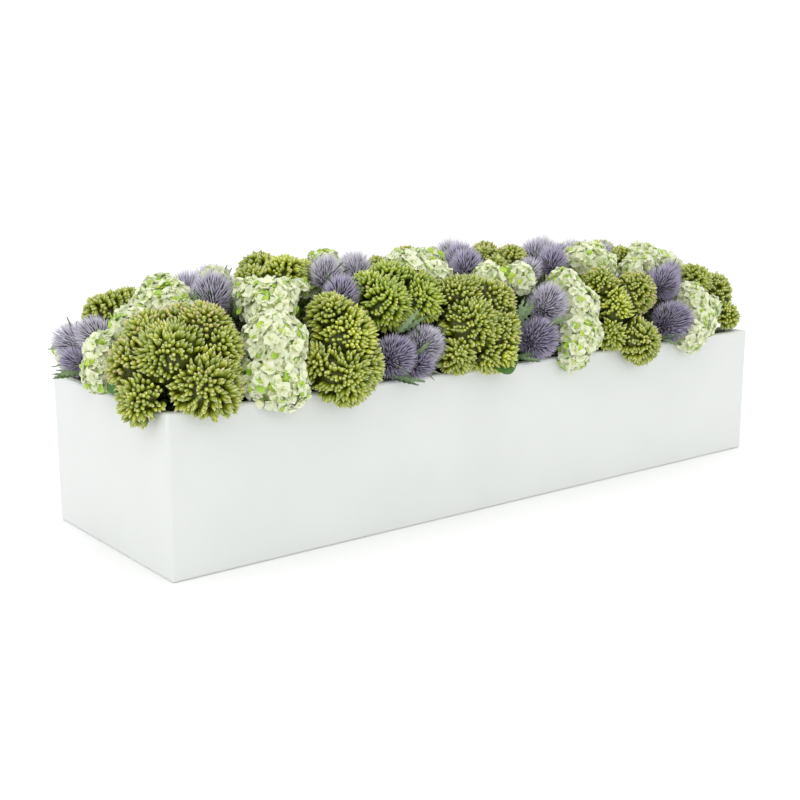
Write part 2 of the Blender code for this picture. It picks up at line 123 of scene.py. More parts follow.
# %% The mound's skin
PLANTER_LOW, PLANTER_HIGH = (np.array(corner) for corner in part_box("planter"))
RIM = float(PLANTER_HIGH[2])
MOUND_HALF_LENGTH = 396 * MM
MOUND_HALF_WIDTH = 110 * MM
MOUND_RISE = 86 * MM
MOUND_LIFT = 6 * MM
DRAPE_FROM = 15 * MM
DRAPE_SLOPE = 0.7
PLAN_POWER = 14
CREST_POWER = 4
ACROSS_POWER = 3
HEIGHT_POWER = 2.2
END_SHARE = 0.999
SKIN_SAMPLES = 181


def section(x):
    """The mound's cross-section at x: places across, heights and distances along the skin."""
    share = min(abs(x) / MOUND_HALF_LENGTH, END_SHARE)
    half_width = MOUND_HALF_WIDTH * (1 - share**PLAN_POWER) ** (1 / ACROSS_POWER)
    rise = MOUND_RISE * (1 - share**CREST_POWER) ** (1 / HEIGHT_POWER)
    turn = np.linspace(0, math.pi, SKIN_SAMPLES)
    across = -half_width * np.sign(np.cos(turn)) * np.abs(np.cos(turn)) ** (2 / ACROSS_POWER)
    height = rise * np.abs(np.sin(turn)) ** (2 / HEIGHT_POWER)
    steps = np.hypot(np.diff(across), np.diff(height))
    return across, height, np.concatenate([[0], np.cumsum(steps)])


def on_mound(x, climb):
    """The point of the mound at x, this far up its skin from the front rim."""
    across, height, distance = section(x)
    y = float(np.interp(climb, distance, across))
    z = float(np.interp(climb, distance, height)) + min(climb, 0)
    past = climb - (distance[-1] - DRAPE_FROM)
    y -= DRAPE_SLOPE * max(0, DRAPE_FROM - climb)
    y += DRAPE_SLOPE * max(0, past)
    z -= max(0, past - DRAPE_FROM)
    return np.array([x, y, RIM + MOUND_LIFT + z])


crest = on_mound(0, section(0)[2][-1] / 2)[2] - RIM
print("crest of the mound above the rim:", round(crest, 4), "m")

# %% [markdown]
# Each head faces away from the middle of the foam. Where two heads meet, each keeps to its own side
# of a plane between them, as the real ones press each other flat. The same goes for the planter's
# walls and the foam. A head is then known by its centre, its radius, the way it faces, and those
# planes, and `reach` says how far it may grow in any direction.
#
# Neighbours of one kind are a head's kin. Stonecrop and snowball heads run together with their kin
# into one lumpy dome with soft valleys, as they do in the photo, so `skin` gives the surface of all
# of them at once: each head fades into the next by a weight that falls off with the distance. That
# swells them where they meet, so all are first drawn in a little. A few heads are fuller or sparser
# than their solid, as `FULLER` says.

# %% A flower head and the space that it keeps to
BAR_HALF_LENGTH = 295 * MM
BAR_NARROWER = 0.35
BAR_BELOW_RIM = 20 * MM
GAP = 0.35 * MM
SMALLEST_SHARE = 0.25
NEIGHBOUR_SPAN = 2.5
KIN_SPAN = 1.3
BLEND = {"stonecrop": 7 * MM, "snowball": 4.5 * MM}
FULLER = {
    (-386, -1): 1.28, (-342, 8): 1.05, (-196, 152): 1.15, (246, 14): 1.12, (198, 52): 1.12,
    (-88, 110): 1.12, (-232, 98): 0.75, (-212, 104): 0.65, (-263, 108): 0.85, (-394, 30): 0.85,
    (-384, 86): 0.75, (-360, 80): 0.9, (-334, 86): 0.85, (-328, 158): 0.9, (-308, 156): 0.9,
    (-118, 100): 0.88, (-30, 74): 0.85, (98, 72): 0.88, (393, 16): 1.15, (382, 40): 1.08,
    (351, 11): 1.1,
}
DRAWN_IN = 0.28
SKIN_STEPS = 5
LEAST_SLOPE = 0.45
MOST_SWELL = 1.35
TINY = 1e-6


def unit(vectors):
    return vectors / np.linalg.norm(vectors, axis=-1, keepdims=True)


def distance_to(planes, directions):
    """How far the nearest of these planes is in each direction."""
    nearest = np.full(len(directions), np.inf)
    for normal, distance in planes:
        nearest = np.minimum(nearest, distance / np.maximum(directions @ normal, TINY))
    return nearest


class Head:
    def __init__(self, kind, x, climb, size):
        self.kind = kind
        self.place = (x, climb)
        self.centre = on_mound(x * MM, climb * MM)
        self.radius = size * MM / 2 * FULLER.get(self.place, 1.0)
        along = float(np.clip(self.centre[0], -BAR_HALF_LENGTH, BAR_HALF_LENGTH))
        bar = np.array([along, self.centre[1] * BAR_NARROWER, RIM - BAR_BELOW_RIM])
        self.axis = unit(self.centre - bar)
        self.kin = [self]
        self.kin_planes = []
        self.planes = []

    def keep_off(self, point):
        """Keeps the head on its own side of a plane through this point."""
        away = np.array(point) - self.centre
        length = np.linalg.norm(away)
        self.planes.append((away / length, max(length - GAP, SMALLEST_SHARE * self.radius)))

    def reach(self, directions, wanted):
        """How far the head may grow in each direction, up to what is wanted."""
        return np.minimum(wanted, distance_to(self.planes + self.kin_planes, directions))

    def skin(self, directions, blend):
        """How far the surface of the head and its kin lies, and the way out of it there."""
        centres = np.array([head.centre for head in self.kin])[:, None]
        radii = np.array([head.radius for head in self.kin])[:, None] - DRAWN_IN * blend
        least = self.radius - DRAWN_IN * blend
        length = np.full(len(directions), least)
        for _ in range(SKIN_STEPS):
            away = self.centre + directions * length[:, None] - centres
            spans = np.linalg.norm(away, axis=2)
            weights = np.exp((radii - spans) / blend)
            out = unit((away * (weights / spans)[..., None]).sum(axis=0))
            outside = -blend * np.log(weights.sum(axis=0))
            slope = np.maximum((out * directions).sum(axis=1), LEAST_SLOPE)
            length = np.clip(length - outside / slope, least, MOST_SWELL * self.radius)
        return length, out


print("a head's bar in the foam is", 2 * BAR_HALF_LENGTH, "m long")

# %% [markdown]
# The photo shows the front, but the arrangement goes all the way round. At the back the same three
# kinds carry on in columns, each column one spray, wherever the heads of the front and the ends
# leave room.

# %% The heads of the back
BACK_PITCH = 59
BACK_COLUMNS = 12
BACK_FROM_RIM = (113, 68, 20)
BACK_SIZES = (52, 54, 58)
BACK_KINDS = ("stonecrop", "snowball", "seaholly", "stonecrop", "snowball")
CLEAR_OF_FRONT = 33 * MM


def plan_with_back(plan):
    taken = [on_mound(x * MM, climb * MM) for _, *rows in plan for x, climb, _ in rows]
    columns = []
    for column in range(BACK_COLUMNS):
        x = (column - (BACK_COLUMNS - 1) / 2) * BACK_PITCH
        rows = []
        for row, (from_rim, size) in enumerate(zip(BACK_FROM_RIM, BACK_SIZES)):
            shifted = x + BACK_PITCH / 4 * (-1) ** row
            climb = section(shifted * MM)[2][-1] / MM - from_rim
            centre = on_mound(shifted * MM, climb * MM)
            if all(np.linalg.norm(centre - other) > CLEAR_OF_FRONT for other in taken):
                rows.append((shifted, climb, size))
        if rows:
            columns.append((BACK_KINDS[column % len(BACK_KINDS)], *rows))
    return list(plan) + columns


whole_plan = plan_with_back(PLAN)
print("columns at the back:", len(whole_plan) - len(PLAN))

# %% [markdown]
# The foam rises above the rim as a rounded loaf. It is made again here, because the heads keep off
# it and small leaves grow from it. Each head then gets its planes: one for every near neighbour, one
# for the planter, which leans where heads hang over the rim, and one for the foam.

# %% The loaf of foam
LOAF_LENGTH = 690 * MM
LOAF_WIDTH = 150 * MM
LOAF_RISE = 46 * MM
LOAF_BELOW_RIM = 28 * MM
LOAF_ROUND = 42 * MM
LOAF_SEGMENTS = 4


def loaf_of_foam():
    """The rounded top of the foam, above and a little below the rim, as a bmesh."""
    low = Vector((-LOAF_LENGTH / 2, -LOAF_WIDTH / 2, RIM - LOAF_BELOW_RIM))
    high = Vector((LOAF_LENGTH / 2, LOAF_WIDTH / 2, RIM + LOAF_RISE))
    place = Matrix.Translation((low + high) / 2) @ Matrix.Diagonal((*(high - low), 1))
    bm = bmesh.new()
    bmesh.ops.create_cube(bm, size=1, matrix=place)
    edges = [e for e in bm.edges if all(v.co.z > high.z - MM for v in e.verts)]
    bmesh.ops.bevel(
        bm, geom=edges, offset=LOAF_ROUND, segments=LOAF_SEGMENTS, profile=0.5, affect="EDGES"
    )
    return bm


loaf = loaf_of_foam()
foam_tree = BVHTree.FromBMesh(loaf)
print("faces of the loaf:", len(loaf.faces))

# %% Every spray, with the planes of its heads
HANGS_OVER = 15 * MM
RIM_LEAN = 0.6


def plane_off_planter(centre):
    """The normal and distance of a plane off the planter, which leans so that heads overhang."""
    edge = np.clip(centre, PLANTER_LOW, PLANTER_HIGH)
    way = edge - centre
    lean = RIM_LEAN * np.linalg.norm(way)
    for axis in (0, 1):
        half = PLANTER_HIGH[axis]
        if centre[2] > RIM and abs(centre[axis]) > half - HANGS_OVER:
            edge[axis] = math.copysign(half, centre[axis])
            way[axis] -= math.copysign(lean, centre[axis])
    way = unit(way)
    return way, float((edge - centre) @ way)


def settle(heads, foam_tree):
    for head in heads:
        for other in heads:
            away = other.centre - head.centre
            span = np.linalg.norm(away)
            if other is head or span > NEIGHBOUR_SPAN * (head.radius + other.radius):
                continue
            share = (span**2 + head.radius**2 - other.radius**2) / (2 * span)
            if head.kind == other.kind in BLEND and span < KIN_SPAN * (head.radius + other.radius):
                head.kin.append(other)
                head.kin_planes.append((away / span, share - GAP / 2))
            else:
                head.planes.append((away / span, share - GAP / 2))
        normal, distance = plane_off_planter(head.centre)
        head.planes.append((normal, distance - GAP))
        head.keep_off(foam_tree.find_nearest(Vector(head.centre))[0])


sprays = {}
for kind, *rows in whole_plan:
    number = 1 + sum(name.startswith(kind) for name in sprays)
    sprays[f"{kind}_{number:02d}"] = [Head(kind, *row) for row in rows]
all_heads = [head for heads in sprays.values() for head in heads]
settle(all_heads, foam_tree)
print("sprays:", len(sprays), "heads:", len(all_heads))

# %% [markdown]
# ## Node trees
#
# Buds, bristles, petals and leaves repeat by the thousand, so Geometry Nodes make them: one small
# tree draws a single bud from named sizes, and another puts it on every spot of a head. The class
# below only shortens the calls that add and join nodes, for geometry and for materials alike.

# %% A short way to write node trees
SOCKET_TYPES = {int: "NodeSocketInt", float: "NodeSocketFloat"}


class Tree:
    def __init__(self, tree):
        self.tree = tree
        self.inputs = None
        self.result = None

    @classmethod
    def group(cls, name, kind, takes, gives, given_type):
        """A new group. A socket is of its first value's type, or of a type named in its place."""
        made = cls(bpy.data.node_groups.new(name, kind))
        add_socket = made.tree.interface.new_socket
        for label, value in takes.items():
            socket_type = SOCKET_TYPES.get(type(value), value)
            socket = add_socket(label, in_out="INPUT", socket_type=socket_type)
            if type(value) in SOCKET_TYPES:
                socket.default_value = value
        add_socket(gives, in_out="OUTPUT", socket_type=given_type)
        made.inputs = made.tree.nodes.new("NodeGroupInput").outputs
        made.result = made.tree.nodes.new("NodeGroupOutput").inputs
        return made

    @classmethod
    def shape(cls, name, takes):
        """A new Geometry Nodes group, which gives a mesh."""
        return cls.group(name, "GeometryNodeTree", takes, "Geometry", "NodeSocketGeometry")

    def give(self, value):
        """Makes this the group's result and returns the finished group."""
        self.plug(self.result[0], value)
        return self.tree

    def plug(self, socket, value):
        if isinstance(value, bpy.types.NodeSocket):
            self.tree.links.new(value, socket)
        else:
            socket.default_value = value

    def node(self, kind, inputs=None, **settings):
        node = self.tree.nodes.new(kind)
        for name, value in settings.items():
            setattr(node, name, value)
        for name, value in (inputs or {}).items():
            self.plug(node.inputs[name], value)
        return node

    def math(self, operation, *values):
        return self.node("ShaderNodeMath", dict(enumerate(values)), operation=operation).outputs[0]

    def times(self, product, *others):
        for other in others:
            product = self.math("MULTIPLY", product, other)
        return product

    def vector(self, x, y, z):
        return self.node("ShaderNodeCombineXYZ", {"X": x, "Y": y, "Z": z}).outputs[0]

    def parts_of(self, vector):
        return self.node("ShaderNodeSeparateXYZ", {"Vector": vector}).outputs

    def map_range(self, value, low, high, to_low, to_high, smooth=False):
        inputs = {0: value, 1: low, 2: high, 3: to_low, 4: to_high}
        kind = "SMOOTHSTEP" if smooth else "LINEAR"
        return self.node("ShaderNodeMapRange", inputs, interpolation_type=kind).outputs[0]

    def store(self, geometry, name, value):
        inputs = {"Geometry": geometry, "Name": name, "Value": value}
        return self.node(
            "GeometryNodeStoreNamedAttribute", inputs, data_type="FLOAT", domain="POINT"
        ).outputs[0]

    def named(self, name, kind="FLOAT"):
        node = self.node("GeometryNodeInputNamedAttribute", {"Name": name}, data_type=kind)
        return node.outputs["Attribute"]

    def position(self):
        return self.node("GeometryNodeInputPosition").outputs[0]

    def move(self, geometry, position):
        inputs = {"Geometry": geometry, "Position": position}
        return self.node("GeometryNodeSetPosition", inputs).outputs[0]

    def join(self, *geometries):
        node = self.node("GeometryNodeJoinGeometry")
        for geometry in geometries:
            self.tree.links.new(geometry, node.inputs[0])
        return node.outputs[0]


def input_names(group):
    return [item.name for item in group.interface.items_tree if item.in_out == "INPUT"]


print("numbers that may start a socket:", [kind.__name__ for kind in SOCKET_TYPES])

# %% [markdown]
# ### One stonecrop bud
#
# A stonecrop bud is slim and pointed, with its belly a little above the middle. It starts as a ball
# with five sides and three rings of faces, drawn out along Z: the lower ring becomes the neck, the
# upper one the belly, and a power pulls both down so that the tip runs out to a point. The height
# up the bud is stored on its points, so the material can darken the neck with painted shade and
# pale the tip, partly with a painted highlight.

# %% The bud's tree
BUD = {"Length": 12 * MM, "Width": 4.3 * MM, "Neck": 0.5, "Pull": 1.4, "Sides": 5}
SHARE_AT_RING = 0.866
NECK_ENDS = 0.25
BELLY_STARTS = 0.75


def bud_group():
    tree = Tree.shape("Stonecrop bud", BUD)
    size = tree.inputs
    ball = tree.node("GeometryNodeMeshUVSphere", {"Segments": size["Sides"], "Rings": 3})
    spot = tree.parts_of(tree.position())
    up_ball = tree.math("MULTIPLY_ADD", spot[2], 0.5, 0.5)
    along = tree.math("POWER", up_ball, size["Pull"])
    belly = tree.map_range(up_ball, NECK_ENDS, BELLY_STARTS, size["Neck"], 1.0)
    spread = tree.times(size["Width"], 0.5 / SHARE_AT_RING, belly)
    place = tree.vector(
        tree.times(spot[0], spread), tree.times(spot[1], spread), tree.times(along, size["Length"])
    )
    return tree.give(tree.move(tree.store(ball.outputs[0], "along", along), place))


bud = bud_group()
print(bud.name, "inputs:", input_names(bud))

# %% [markdown]
# ### One sea holly bristle
#
# The bristles are fine and there are hundreds on a head, so each has to be cheap: a cone with three
# sides and a point, under two millimetres wide at its root.

# %% The bristle's tree
BRISTLE = {"Length": 13 * MM, "Width": 1.9 * MM, "Sides": 3}


def bristle_group():
    tree = Tree.shape("Sea holly bristle", BRISTLE)
    size = tree.inputs
    sizes = {
        "Vertices": size["Sides"], "Radius Top": 0.0, "Radius Bottom": tree.times(size["Width"], 0.5),
        "Depth": size["Length"],
    }
    cone = tree.node("GeometryNodeMeshCone", sizes)
    height = tree.parts_of(tree.position())[2]
    along = tree.math("DIVIDE", height, size["Length"])
    return tree.give(tree.store(cone.outputs[0], "along", along))


bristle = bristle_group()
print(bristle.name, "inputs:", input_names(bristle))

# %% [markdown]
# ### One blade: a petal or a leaf
#
# Petals and leaves are thin blades. A flat grid is narrowed to their outline, its corners are drawn
# back, and it is cupped and waved. Two such sheets, one with its faces turned over, bulge apart in
# the middle and meet along the edge, so that the blade is a closed thin lens and not a loose sheet.
# That edge is marked sharp, or the shading would run round it and draw a dark line. The place across
# the blade and along it is stored for the veins.

# %% The blade's tree
AT_RIM = 0.99


def blade_group(name, sizes, columns, rows):
    """A blade along Y that faces Z. Its root is narrow, and Teeth notches its edge."""
    tree = Tree.shape(name, sizes)
    size = tree.inputs
    grid = tree.node(
        "GeometryNodeMeshGrid",
        {"Size X": 2.0, "Size Y": 1.0, "Vertices X": columns, "Vertices Y": rows},
    ).outputs[0]
    across, height, _ = tree.parts_of(tree.position())
    along = tree.math("ADD", height, 0.5)
    grid = tree.store(tree.store(grid, "across", across), "along", along)

    from_root = tree.math("MULTIPLY_ADD", along, size["Taper"], size["Root"])
    outline = tree.math("SINE", tree.times(from_root, math.pi))
    notch = tree.math("PINGPONG", tree.times(along, (rows - 1) / 2), 0.5)
    tooth = tree.math("SUBTRACT", 1.0, tree.times(notch, size["Teeth"]))
    x = tree.times(size["Width"], 0.5, outline, tooth, across)
    across_squared = tree.times(across, across)
    drawn_back = tree.times(across_squared, along, size["Round"])
    y = tree.times(tree.math("SUBTRACT", along, drawn_back), size["Length"])
    cup = tree.times(across_squared, size["Cup"], size["Length"])
    curl = tree.times(along, along, size["Curl"], size["Length"])
    z = tree.math("ADD", cup, curl)
    to_edge = tree.math("SUBTRACT", 1.0, across_squared)
    to_tip = tree.math("SUBTRACT", 1.0, along)
    bulge = tree.times(along, to_tip, 4.0, to_edge, size["Thickness"], 0.5)
    top = tree.move(grid, tree.vector(x, y, tree.math("ADD", z, bulge)))
    under = tree.move(grid, tree.vector(x, y, tree.math("SUBTRACT", z, bulge)))
    under = tree.node("GeometryNodeFlipFaces", {"Mesh": under}).outputs[0]
    closed = tree.node(
        "GeometryNodeMergeByDistance", {"Geometry": tree.join(top, under), "Distance": TINY}
    )
    off_middle = tree.math("ABSOLUTE", tree.named("across"))
    off_centre = tree.math("ABSOLUTE", tree.math("MULTIPLY_ADD", tree.named("along"), 2.0, -1.0))
    at_rim = tree.math("GREATER_THAN", tree.math("MAXIMUM", off_middle, off_centre), AT_RIM)
    sharp = tree.node(
        "GeometryNodeSetShadeSmooth",
        {"Geometry": closed.outputs[0], "Selection": at_rim, "Shade Smooth": False},
        domain="EDGE",
    )
    return tree.give(sharp.outputs[0])


PETAL = {
    "Length": 7.8 * MM, "Width": 8.4 * MM, "Thickness": 0.5 * MM, "Root": 0.14, "Taper": 0.74,
    "Round": 0.16, "Teeth": 0.0, "Cup": 0.10, "Curl": 0.06,
}
LEAF = {
    "Length": 26 * MM, "Width": 5.4 * MM, "Thickness": 0.7 * MM, "Root": 0.16, "Taper": 0.82,
    "Round": 0.04, "Teeth": 1.15, "Cup": 0.05, "Curl": 0.12,
}
petal = blade_group("Snowball petal", PETAL, columns=3, rows=4)
toothed_leaf = blade_group("Sea holly leaf", LEAF, columns=3, rows=13)
print(petal.name, "and", toothed_leaf.name)

# %% [markdown]
# ### Every spot of a head
#
# A carrier mesh holds, for one spray, the heads' small cores as faces and one loose point for each
# bud, bristle or petal. The points carry the way it faces, the way it points and its size. This
# tree puts the piece on each point, turned and scaled, joins the cores to them and gives the whole
# spray its material. A little noise over the finished surface keeps any two petals from being alike.

# %% The tree that covers a head
def cover_group(name, piece, material):
    takes = {
        "Geometry": "NodeSocketGeometry", "Size spread": 0.15, "Crumple": 0.0,
        "Crumple scale": 150.0, "Seed": 1,
    }
    tree = Tree.shape(name, takes)
    split = tree.node(
        "GeometryNodeSeparateGeometry",
        {"Geometry": tree.inputs["Geometry"], "Selection": tree.named("spot")},
        domain="POINT",
    )
    ways = {
        "Primary Axis": tree.named("facing", "FLOAT_VECTOR"),
        "Secondary Axis": tree.named("pointing", "FLOAT_VECTOR"),
    }
    turned = tree.node("FunctionNodeAxesToRotation", ways, primary_axis="Z", secondary_axis="Y")
    spread = tree.inputs["Size spread"]
    sizes = {
        2: tree.math("SUBTRACT", 1.0, spread), 3: tree.math("ADD", 1.0, spread),
        "Seed": tree.inputs["Seed"],
    }
    drawn = tree.node("FunctionNodeRandomValue", sizes, data_type="FLOAT").outputs[1]
    scale = tree.times(tree.named("size"), drawn)
    one = tree.node("GeometryNodeGroup", node_tree=piece)
    placed = tree.node(
        "GeometryNodeInstanceOnPoints",
        {
            "Points": split.outputs["Selection"], "Instance": one.outputs[0],
            "Rotation": turned.outputs[0], "Scale": tree.vector(scale, scale, scale),
        },
    )
    real = tree.node("GeometryNodeRealizeInstances", {"Geometry": placed.outputs[0]}).outputs[0]
    places = {"Vector": tree.position(), "Scale": tree.inputs["Crumple scale"], "Detail": 1.0}
    noise = tree.node("ShaderNodeTexNoise", places).outputs["Color"]
    shift = tree.node("ShaderNodeVectorMath", {0: noise, 1: (0.5, 0.5, 0.5)}, operation="SUBTRACT")
    amount = {0: shift.outputs[0], "Scale": tree.inputs["Crumple"]}
    shift = tree.node("ShaderNodeVectorMath", amount, operation="SCALE").outputs[0]
    crumpled = tree.node("GeometryNodeSetPosition", {"Geometry": real, "Offset": shift}).outputs[0]
    whole = tree.join(split.outputs["Inverted"], crumpled)
    smooth = tree.node("GeometryNodeSetShadeSmooth", {"Geometry": whole}).outputs[0]
    dressed = tree.node("GeometryNodeSetMaterial", {"Geometry": smooth, "Material": material})
    return tree.give(dressed.outputs[0])


def input_of(group, label):
    """The identifier of a group's input, which a modifier's value is set by."""
    items = group.interface.items_tree
    return next(i.identifier for i in items if i.name == label and i.in_out == "INPUT")


print("pieces that a cover tree can repeat:", bud.name, bristle.name, petal.name, toothed_leaf.name)

# %% [markdown]
# ## Spots on a head
#
# Sunflowers space their seeds by turning through the golden angle from one to the next. The same
# rule spreads any number of spots evenly over a ball. A little jitter keeps the spiral from showing.
# A spot is dropped where the neighbours leave its head too little room, because nobody sees it.

# %% Even directions round a head
GOLDEN_ANGLE = math.pi * (3 - math.sqrt(5))
HEXAGON_SHARE = math.sqrt(3) / 2
NEARLY_UP = 0.9
LEAST_ROOM = 0.42
SEAHOLLY_STRETCH = 1.2


def square_to(axes):
    """For each direction, one that is square to it."""
    helper = np.where(np.abs(axes[:, 2:]) < NEARLY_UP, [[0.0, 0.0, 1.0]], [[1.0, 0.0, 0.0]])
    return unit(np.cross(helper, axes))


def square_part(vectors, ways):
    """The part of each vector that is square to its way, as a direction."""
    return unit(vectors - ways * (vectors * ways).sum(axis=1, keepdims=True))


def even_directions(head, spacing, growth, rng):
    """Directions from the head's crown down past its equator, a given distance apart."""
    depth = 1 + growth.underside
    count = int(2 * math.pi * head.radius**2 * depth / (spacing**2 * HEXAGON_SHARE))
    index = np.arange(count) + 0.5
    height = 1 - depth * index / count
    ring = np.sqrt(1 - height**2)
    turn = index * GOLDEN_ANGLE + rng.uniform(0, 2 * math.pi)
    local = np.stack([ring * np.cos(turn), ring * np.sin(turn), height], axis=1)
    local = unit(local + rng.normal(0, growth.jitter * spacing / head.radius, local.shape))
    side = square_to(head.axis[None])[0]
    return local @ np.array([side, np.cross(head.axis, side), head.axis])


def surface(head, directions):
    """How far the head's surface lies in each direction, and the way out of it there."""
    if head.kind in BLEND:
        return head.skin(directions, BLEND[head.kind])
    along = directions @ head.axis
    return head.radius / np.sqrt(1 - along**2 + (along / SEAHOLLY_STRETCH) ** 2), directions


def on_surface(head, directions, spread):
    """Spots on the head's own part of the surface, and the way out at each."""
    length, out = surface(head, directions)
    length = length * spread
    own = length < distance_to(head.kin_planes, directions)
    length = np.minimum(length, distance_to(head.planes, directions))
    keep = own & (length > LEAST_ROOM * head.radius)
    return head.centre + directions[keep] * length[keep, None], out[keep]


def around(axes, angle):
    """Directions square to the axes, each turned by its angle from the first such direction."""
    first = square_to(axes)
    second = np.cross(axes, first)
    return first * np.cos(angle)[:, None] + second * np.sin(angle)[:, None]


print("golden angle:", round(math.degrees(GOLDEN_ANGLE), 2), "degrees")

# %% [markdown]
# Each kind places its pieces in its own way. Stonecrop buds stand out and splay from the middle of
# their head. In a swollen valley there are more of them, for the same spacing. Sea holly bristles
# lean towards the crown, because they spring from low in the head. Snowball petals sit in fours
# round many small florets, each petal leaning out from its floret's middle.

# %% Spots for buds, bristles and petals
BUDS = SimpleNamespace(
    spacing=4.6 * MM, underside=0.6, jitter=0.16, depths=(0.94, 1.04), sizes=(0.82, 1.12), tilt=0.11
)
BRISTLES = SimpleNamespace(
    spacing=2.7 * MM, underside=0.55, jitter=0.2, depths=(0.93, 1.05), sizes=(0.85, 1.1), tilt=0.03
)
FLORETS = SimpleNamespace(
    spacing=8.0 * MM, underside=0.62, jitter=0.2, depths=(0.94, 1.04), sizes=(0.66, 1.12), tilt=0.12
)
MOST_SPREAD = 1.7
THINNING_STEP = math.sqrt(2) - 1
BUD_SPLAY = 0.5
BRISTLE_SPRING = 0.45
FLORET_SINK = 3.0 * MM
PETALS_A_FLORET = 4
PETAL_TURN = 0.25
PETAL_LEANS = (0.0, 0.5)
PETAL_OFF_MIDDLE = 0.5 * MM


def bud_spots(head, rng):
    ways = even_directions(head, BUDS.spacing / math.sqrt(MOST_SPREAD), BUDS, rng)
    length, out = surface(head, ways)
    spread = (length / head.radius) ** 2 / (ways * out).sum(axis=1)
    order = np.arange(len(ways)) * THINNING_STEP % 1
    ways = ways[order < spread / MOST_SPREAD]
    tips, out = on_surface(head, ways, rng.uniform(*BUDS.depths, len(ways)))
    size = rng.uniform(*BUDS.sizes, len(tips))
    off_crown = unit(tips - head.centre)
    off_crown -= head.axis * (off_crown @ head.axis)[:, None]
    facing = unit(out + off_crown * BUD_SPLAY + rng.normal(0, BUDS.tilt, out.shape))
    roots = tips - facing * (BUD["Length"] * size)[:, None]
    return roots, facing, square_to(facing), size


def bristle_spots(head, rng):
    ways = even_directions(head, BRISTLES.spacing, BRISTLES, rng)
    tips, _ = on_surface(head, ways, rng.uniform(*BRISTLES.depths, len(ways)))
    spring = head.centre - head.axis * head.radius * BRISTLE_SPRING
    facing = unit(unit(tips - spring) + rng.normal(0, BRISTLES.tilt, tips.shape))
    size = rng.uniform(*BRISTLES.sizes, len(tips))
    roots = tips - facing * (BRISTLE["Length"] * size)[:, None]
    return roots, facing, square_to(facing), size


def petal_spots(head, rng):
    ways = even_directions(head, FLORETS.spacing, FLORETS, rng)
    spots, out = on_surface(head, ways, rng.uniform(*FLORETS.depths, len(ways)))
    ways = unit(out + rng.normal(0, FLORETS.tilt, out.shape))
    middles = spots - ways * FLORET_SINK
    first_turn = rng.uniform(0, 2 * math.pi, len(ways))
    roots, facing, pointing = [], [], []
    for petal_number in range(PETALS_A_FLORET):
        turn = first_turn + 2 * math.pi * petal_number / PETALS_A_FLORET
        outward = around(ways, turn + rng.normal(0, PETAL_TURN, len(ways)))
        lean = rng.uniform(*PETAL_LEANS, len(ways))[:, None]
        roots.append(middles + outward * PETAL_OFF_MIDDLE)
        pointing.append(outward * np.cos(lean) + ways * np.sin(lean))
        facing.append(ways * np.cos(lean) - outward * np.sin(lean))
    roots, facing, pointing = (np.concatenate(rows) for rows in (roots, facing, pointing))
    return roots, facing, pointing, rng.uniform(*FLORETS.sizes, len(roots))


big_head = sprays["stonecrop_03"][0]
print("buds on one big head:", len(bud_spots(big_head, np.random.default_rng(0))[0]))

# %% [markdown]
# ## Materials of the flowers
#
# The buds are olive, with painted shade darkening the neck where they crowd into each other's shadow.
# They are pale at the tip, partly their own cream colour and partly a painted highlight. Each bud
# differs a little. Some heads are yellower or a fresher green, and a few have a pink blush at the
# tips, so each point also carries its head's `tone` (0 olive, 1 fresh yellow green) and `blush`.
# Shader groups hold what more than one material uses: the difference from bud to bud, and the fine
# veins of a blade.

# %% Shared shader groups
HUE_SWING = -0.03
MIDDLE_VEIN_WIDTH = 0.12
FINE_VEINS_SLANT = -0.6
FINE_VEINS_FROM = 0.75
FINE_VEINS_SHARE = 0.5
FULL_TURN = 6.3


def read(tree, name):
    return tree.node("ShaderNodeAttribute", attribute_name=name).outputs["Fac"]


def mix_colour(tree, share, *colours):
    node = tree.node("ShaderNodeMix", data_type="RGBA")
    tree.plug(node.inputs[0], share)
    for socket, colour in zip((node.inputs[6], node.inputs[7]), colours):
        is_socket = isinstance(colour, bpy.types.NodeSocket)
        tree.plug(socket, colour if is_socket else (*colour, 1))
    return node.outputs[2]


def natural_spread_group():
    """Makes a colour a little lighter or darker, and warmer or cooler, from piece to piece."""
    takes = {"Colour": "NodeSocketColor", "Tint": 0.5, "Amount": 0.3}
    tree = Tree.group("Natural spread", "ShaderNodeTree", takes, "Colour", "NodeSocketColor")
    swing = tree.math("SUBTRACT", tree.inputs["Tint"], 0.5)
    value = tree.math("MULTIPLY_ADD", swing, tree.inputs["Amount"], 1.0)
    hue = tree.math("MULTIPLY_ADD", swing, HUE_SWING, 0.5)
    shifts = {"Hue": hue, "Value": value, "Color": tree.inputs["Colour"]}
    return tree.give(tree.node("ShaderNodeHueSaturation", shifts).outputs[0])


def veins_group():
    """A mask for the veins of a blade: one along its middle and finer ones that fan out."""
    takes = {"Across": 0.0, "Along": 0.0, "Fan": 9.0}
    tree = Tree.group("Blade veins", "ShaderNodeTree", takes, "Veins", "NodeSocketFloat")
    off_middle = tree.math("ABSOLUTE", tree.inputs["Across"])
    middle = tree.map_range(off_middle, 0.0, MIDDLE_VEIN_WIDTH, 1.0, 0.0, smooth=True)
    slant = tree.math("MULTIPLY_ADD", off_middle, FINE_VEINS_SLANT, tree.inputs["Along"])
    wave = tree.math("SINE", tree.times(slant, tree.times(tree.inputs["Fan"], FULL_TURN)))
    fine = tree.map_range(wave, FINE_VEINS_FROM, 1.0, 0.0, FINE_VEINS_SHARE, smooth=True)
    return tree.give(tree.math("MAXIMUM", middle, fine))


natural_spread = natural_spread_group()
veins = veins_group()
print("shader groups:", natural_spread.name, "and", veins.name)

# %% The parts that the flower materials share
STEM_GREEN = (0.09, 0.13, 0.03)


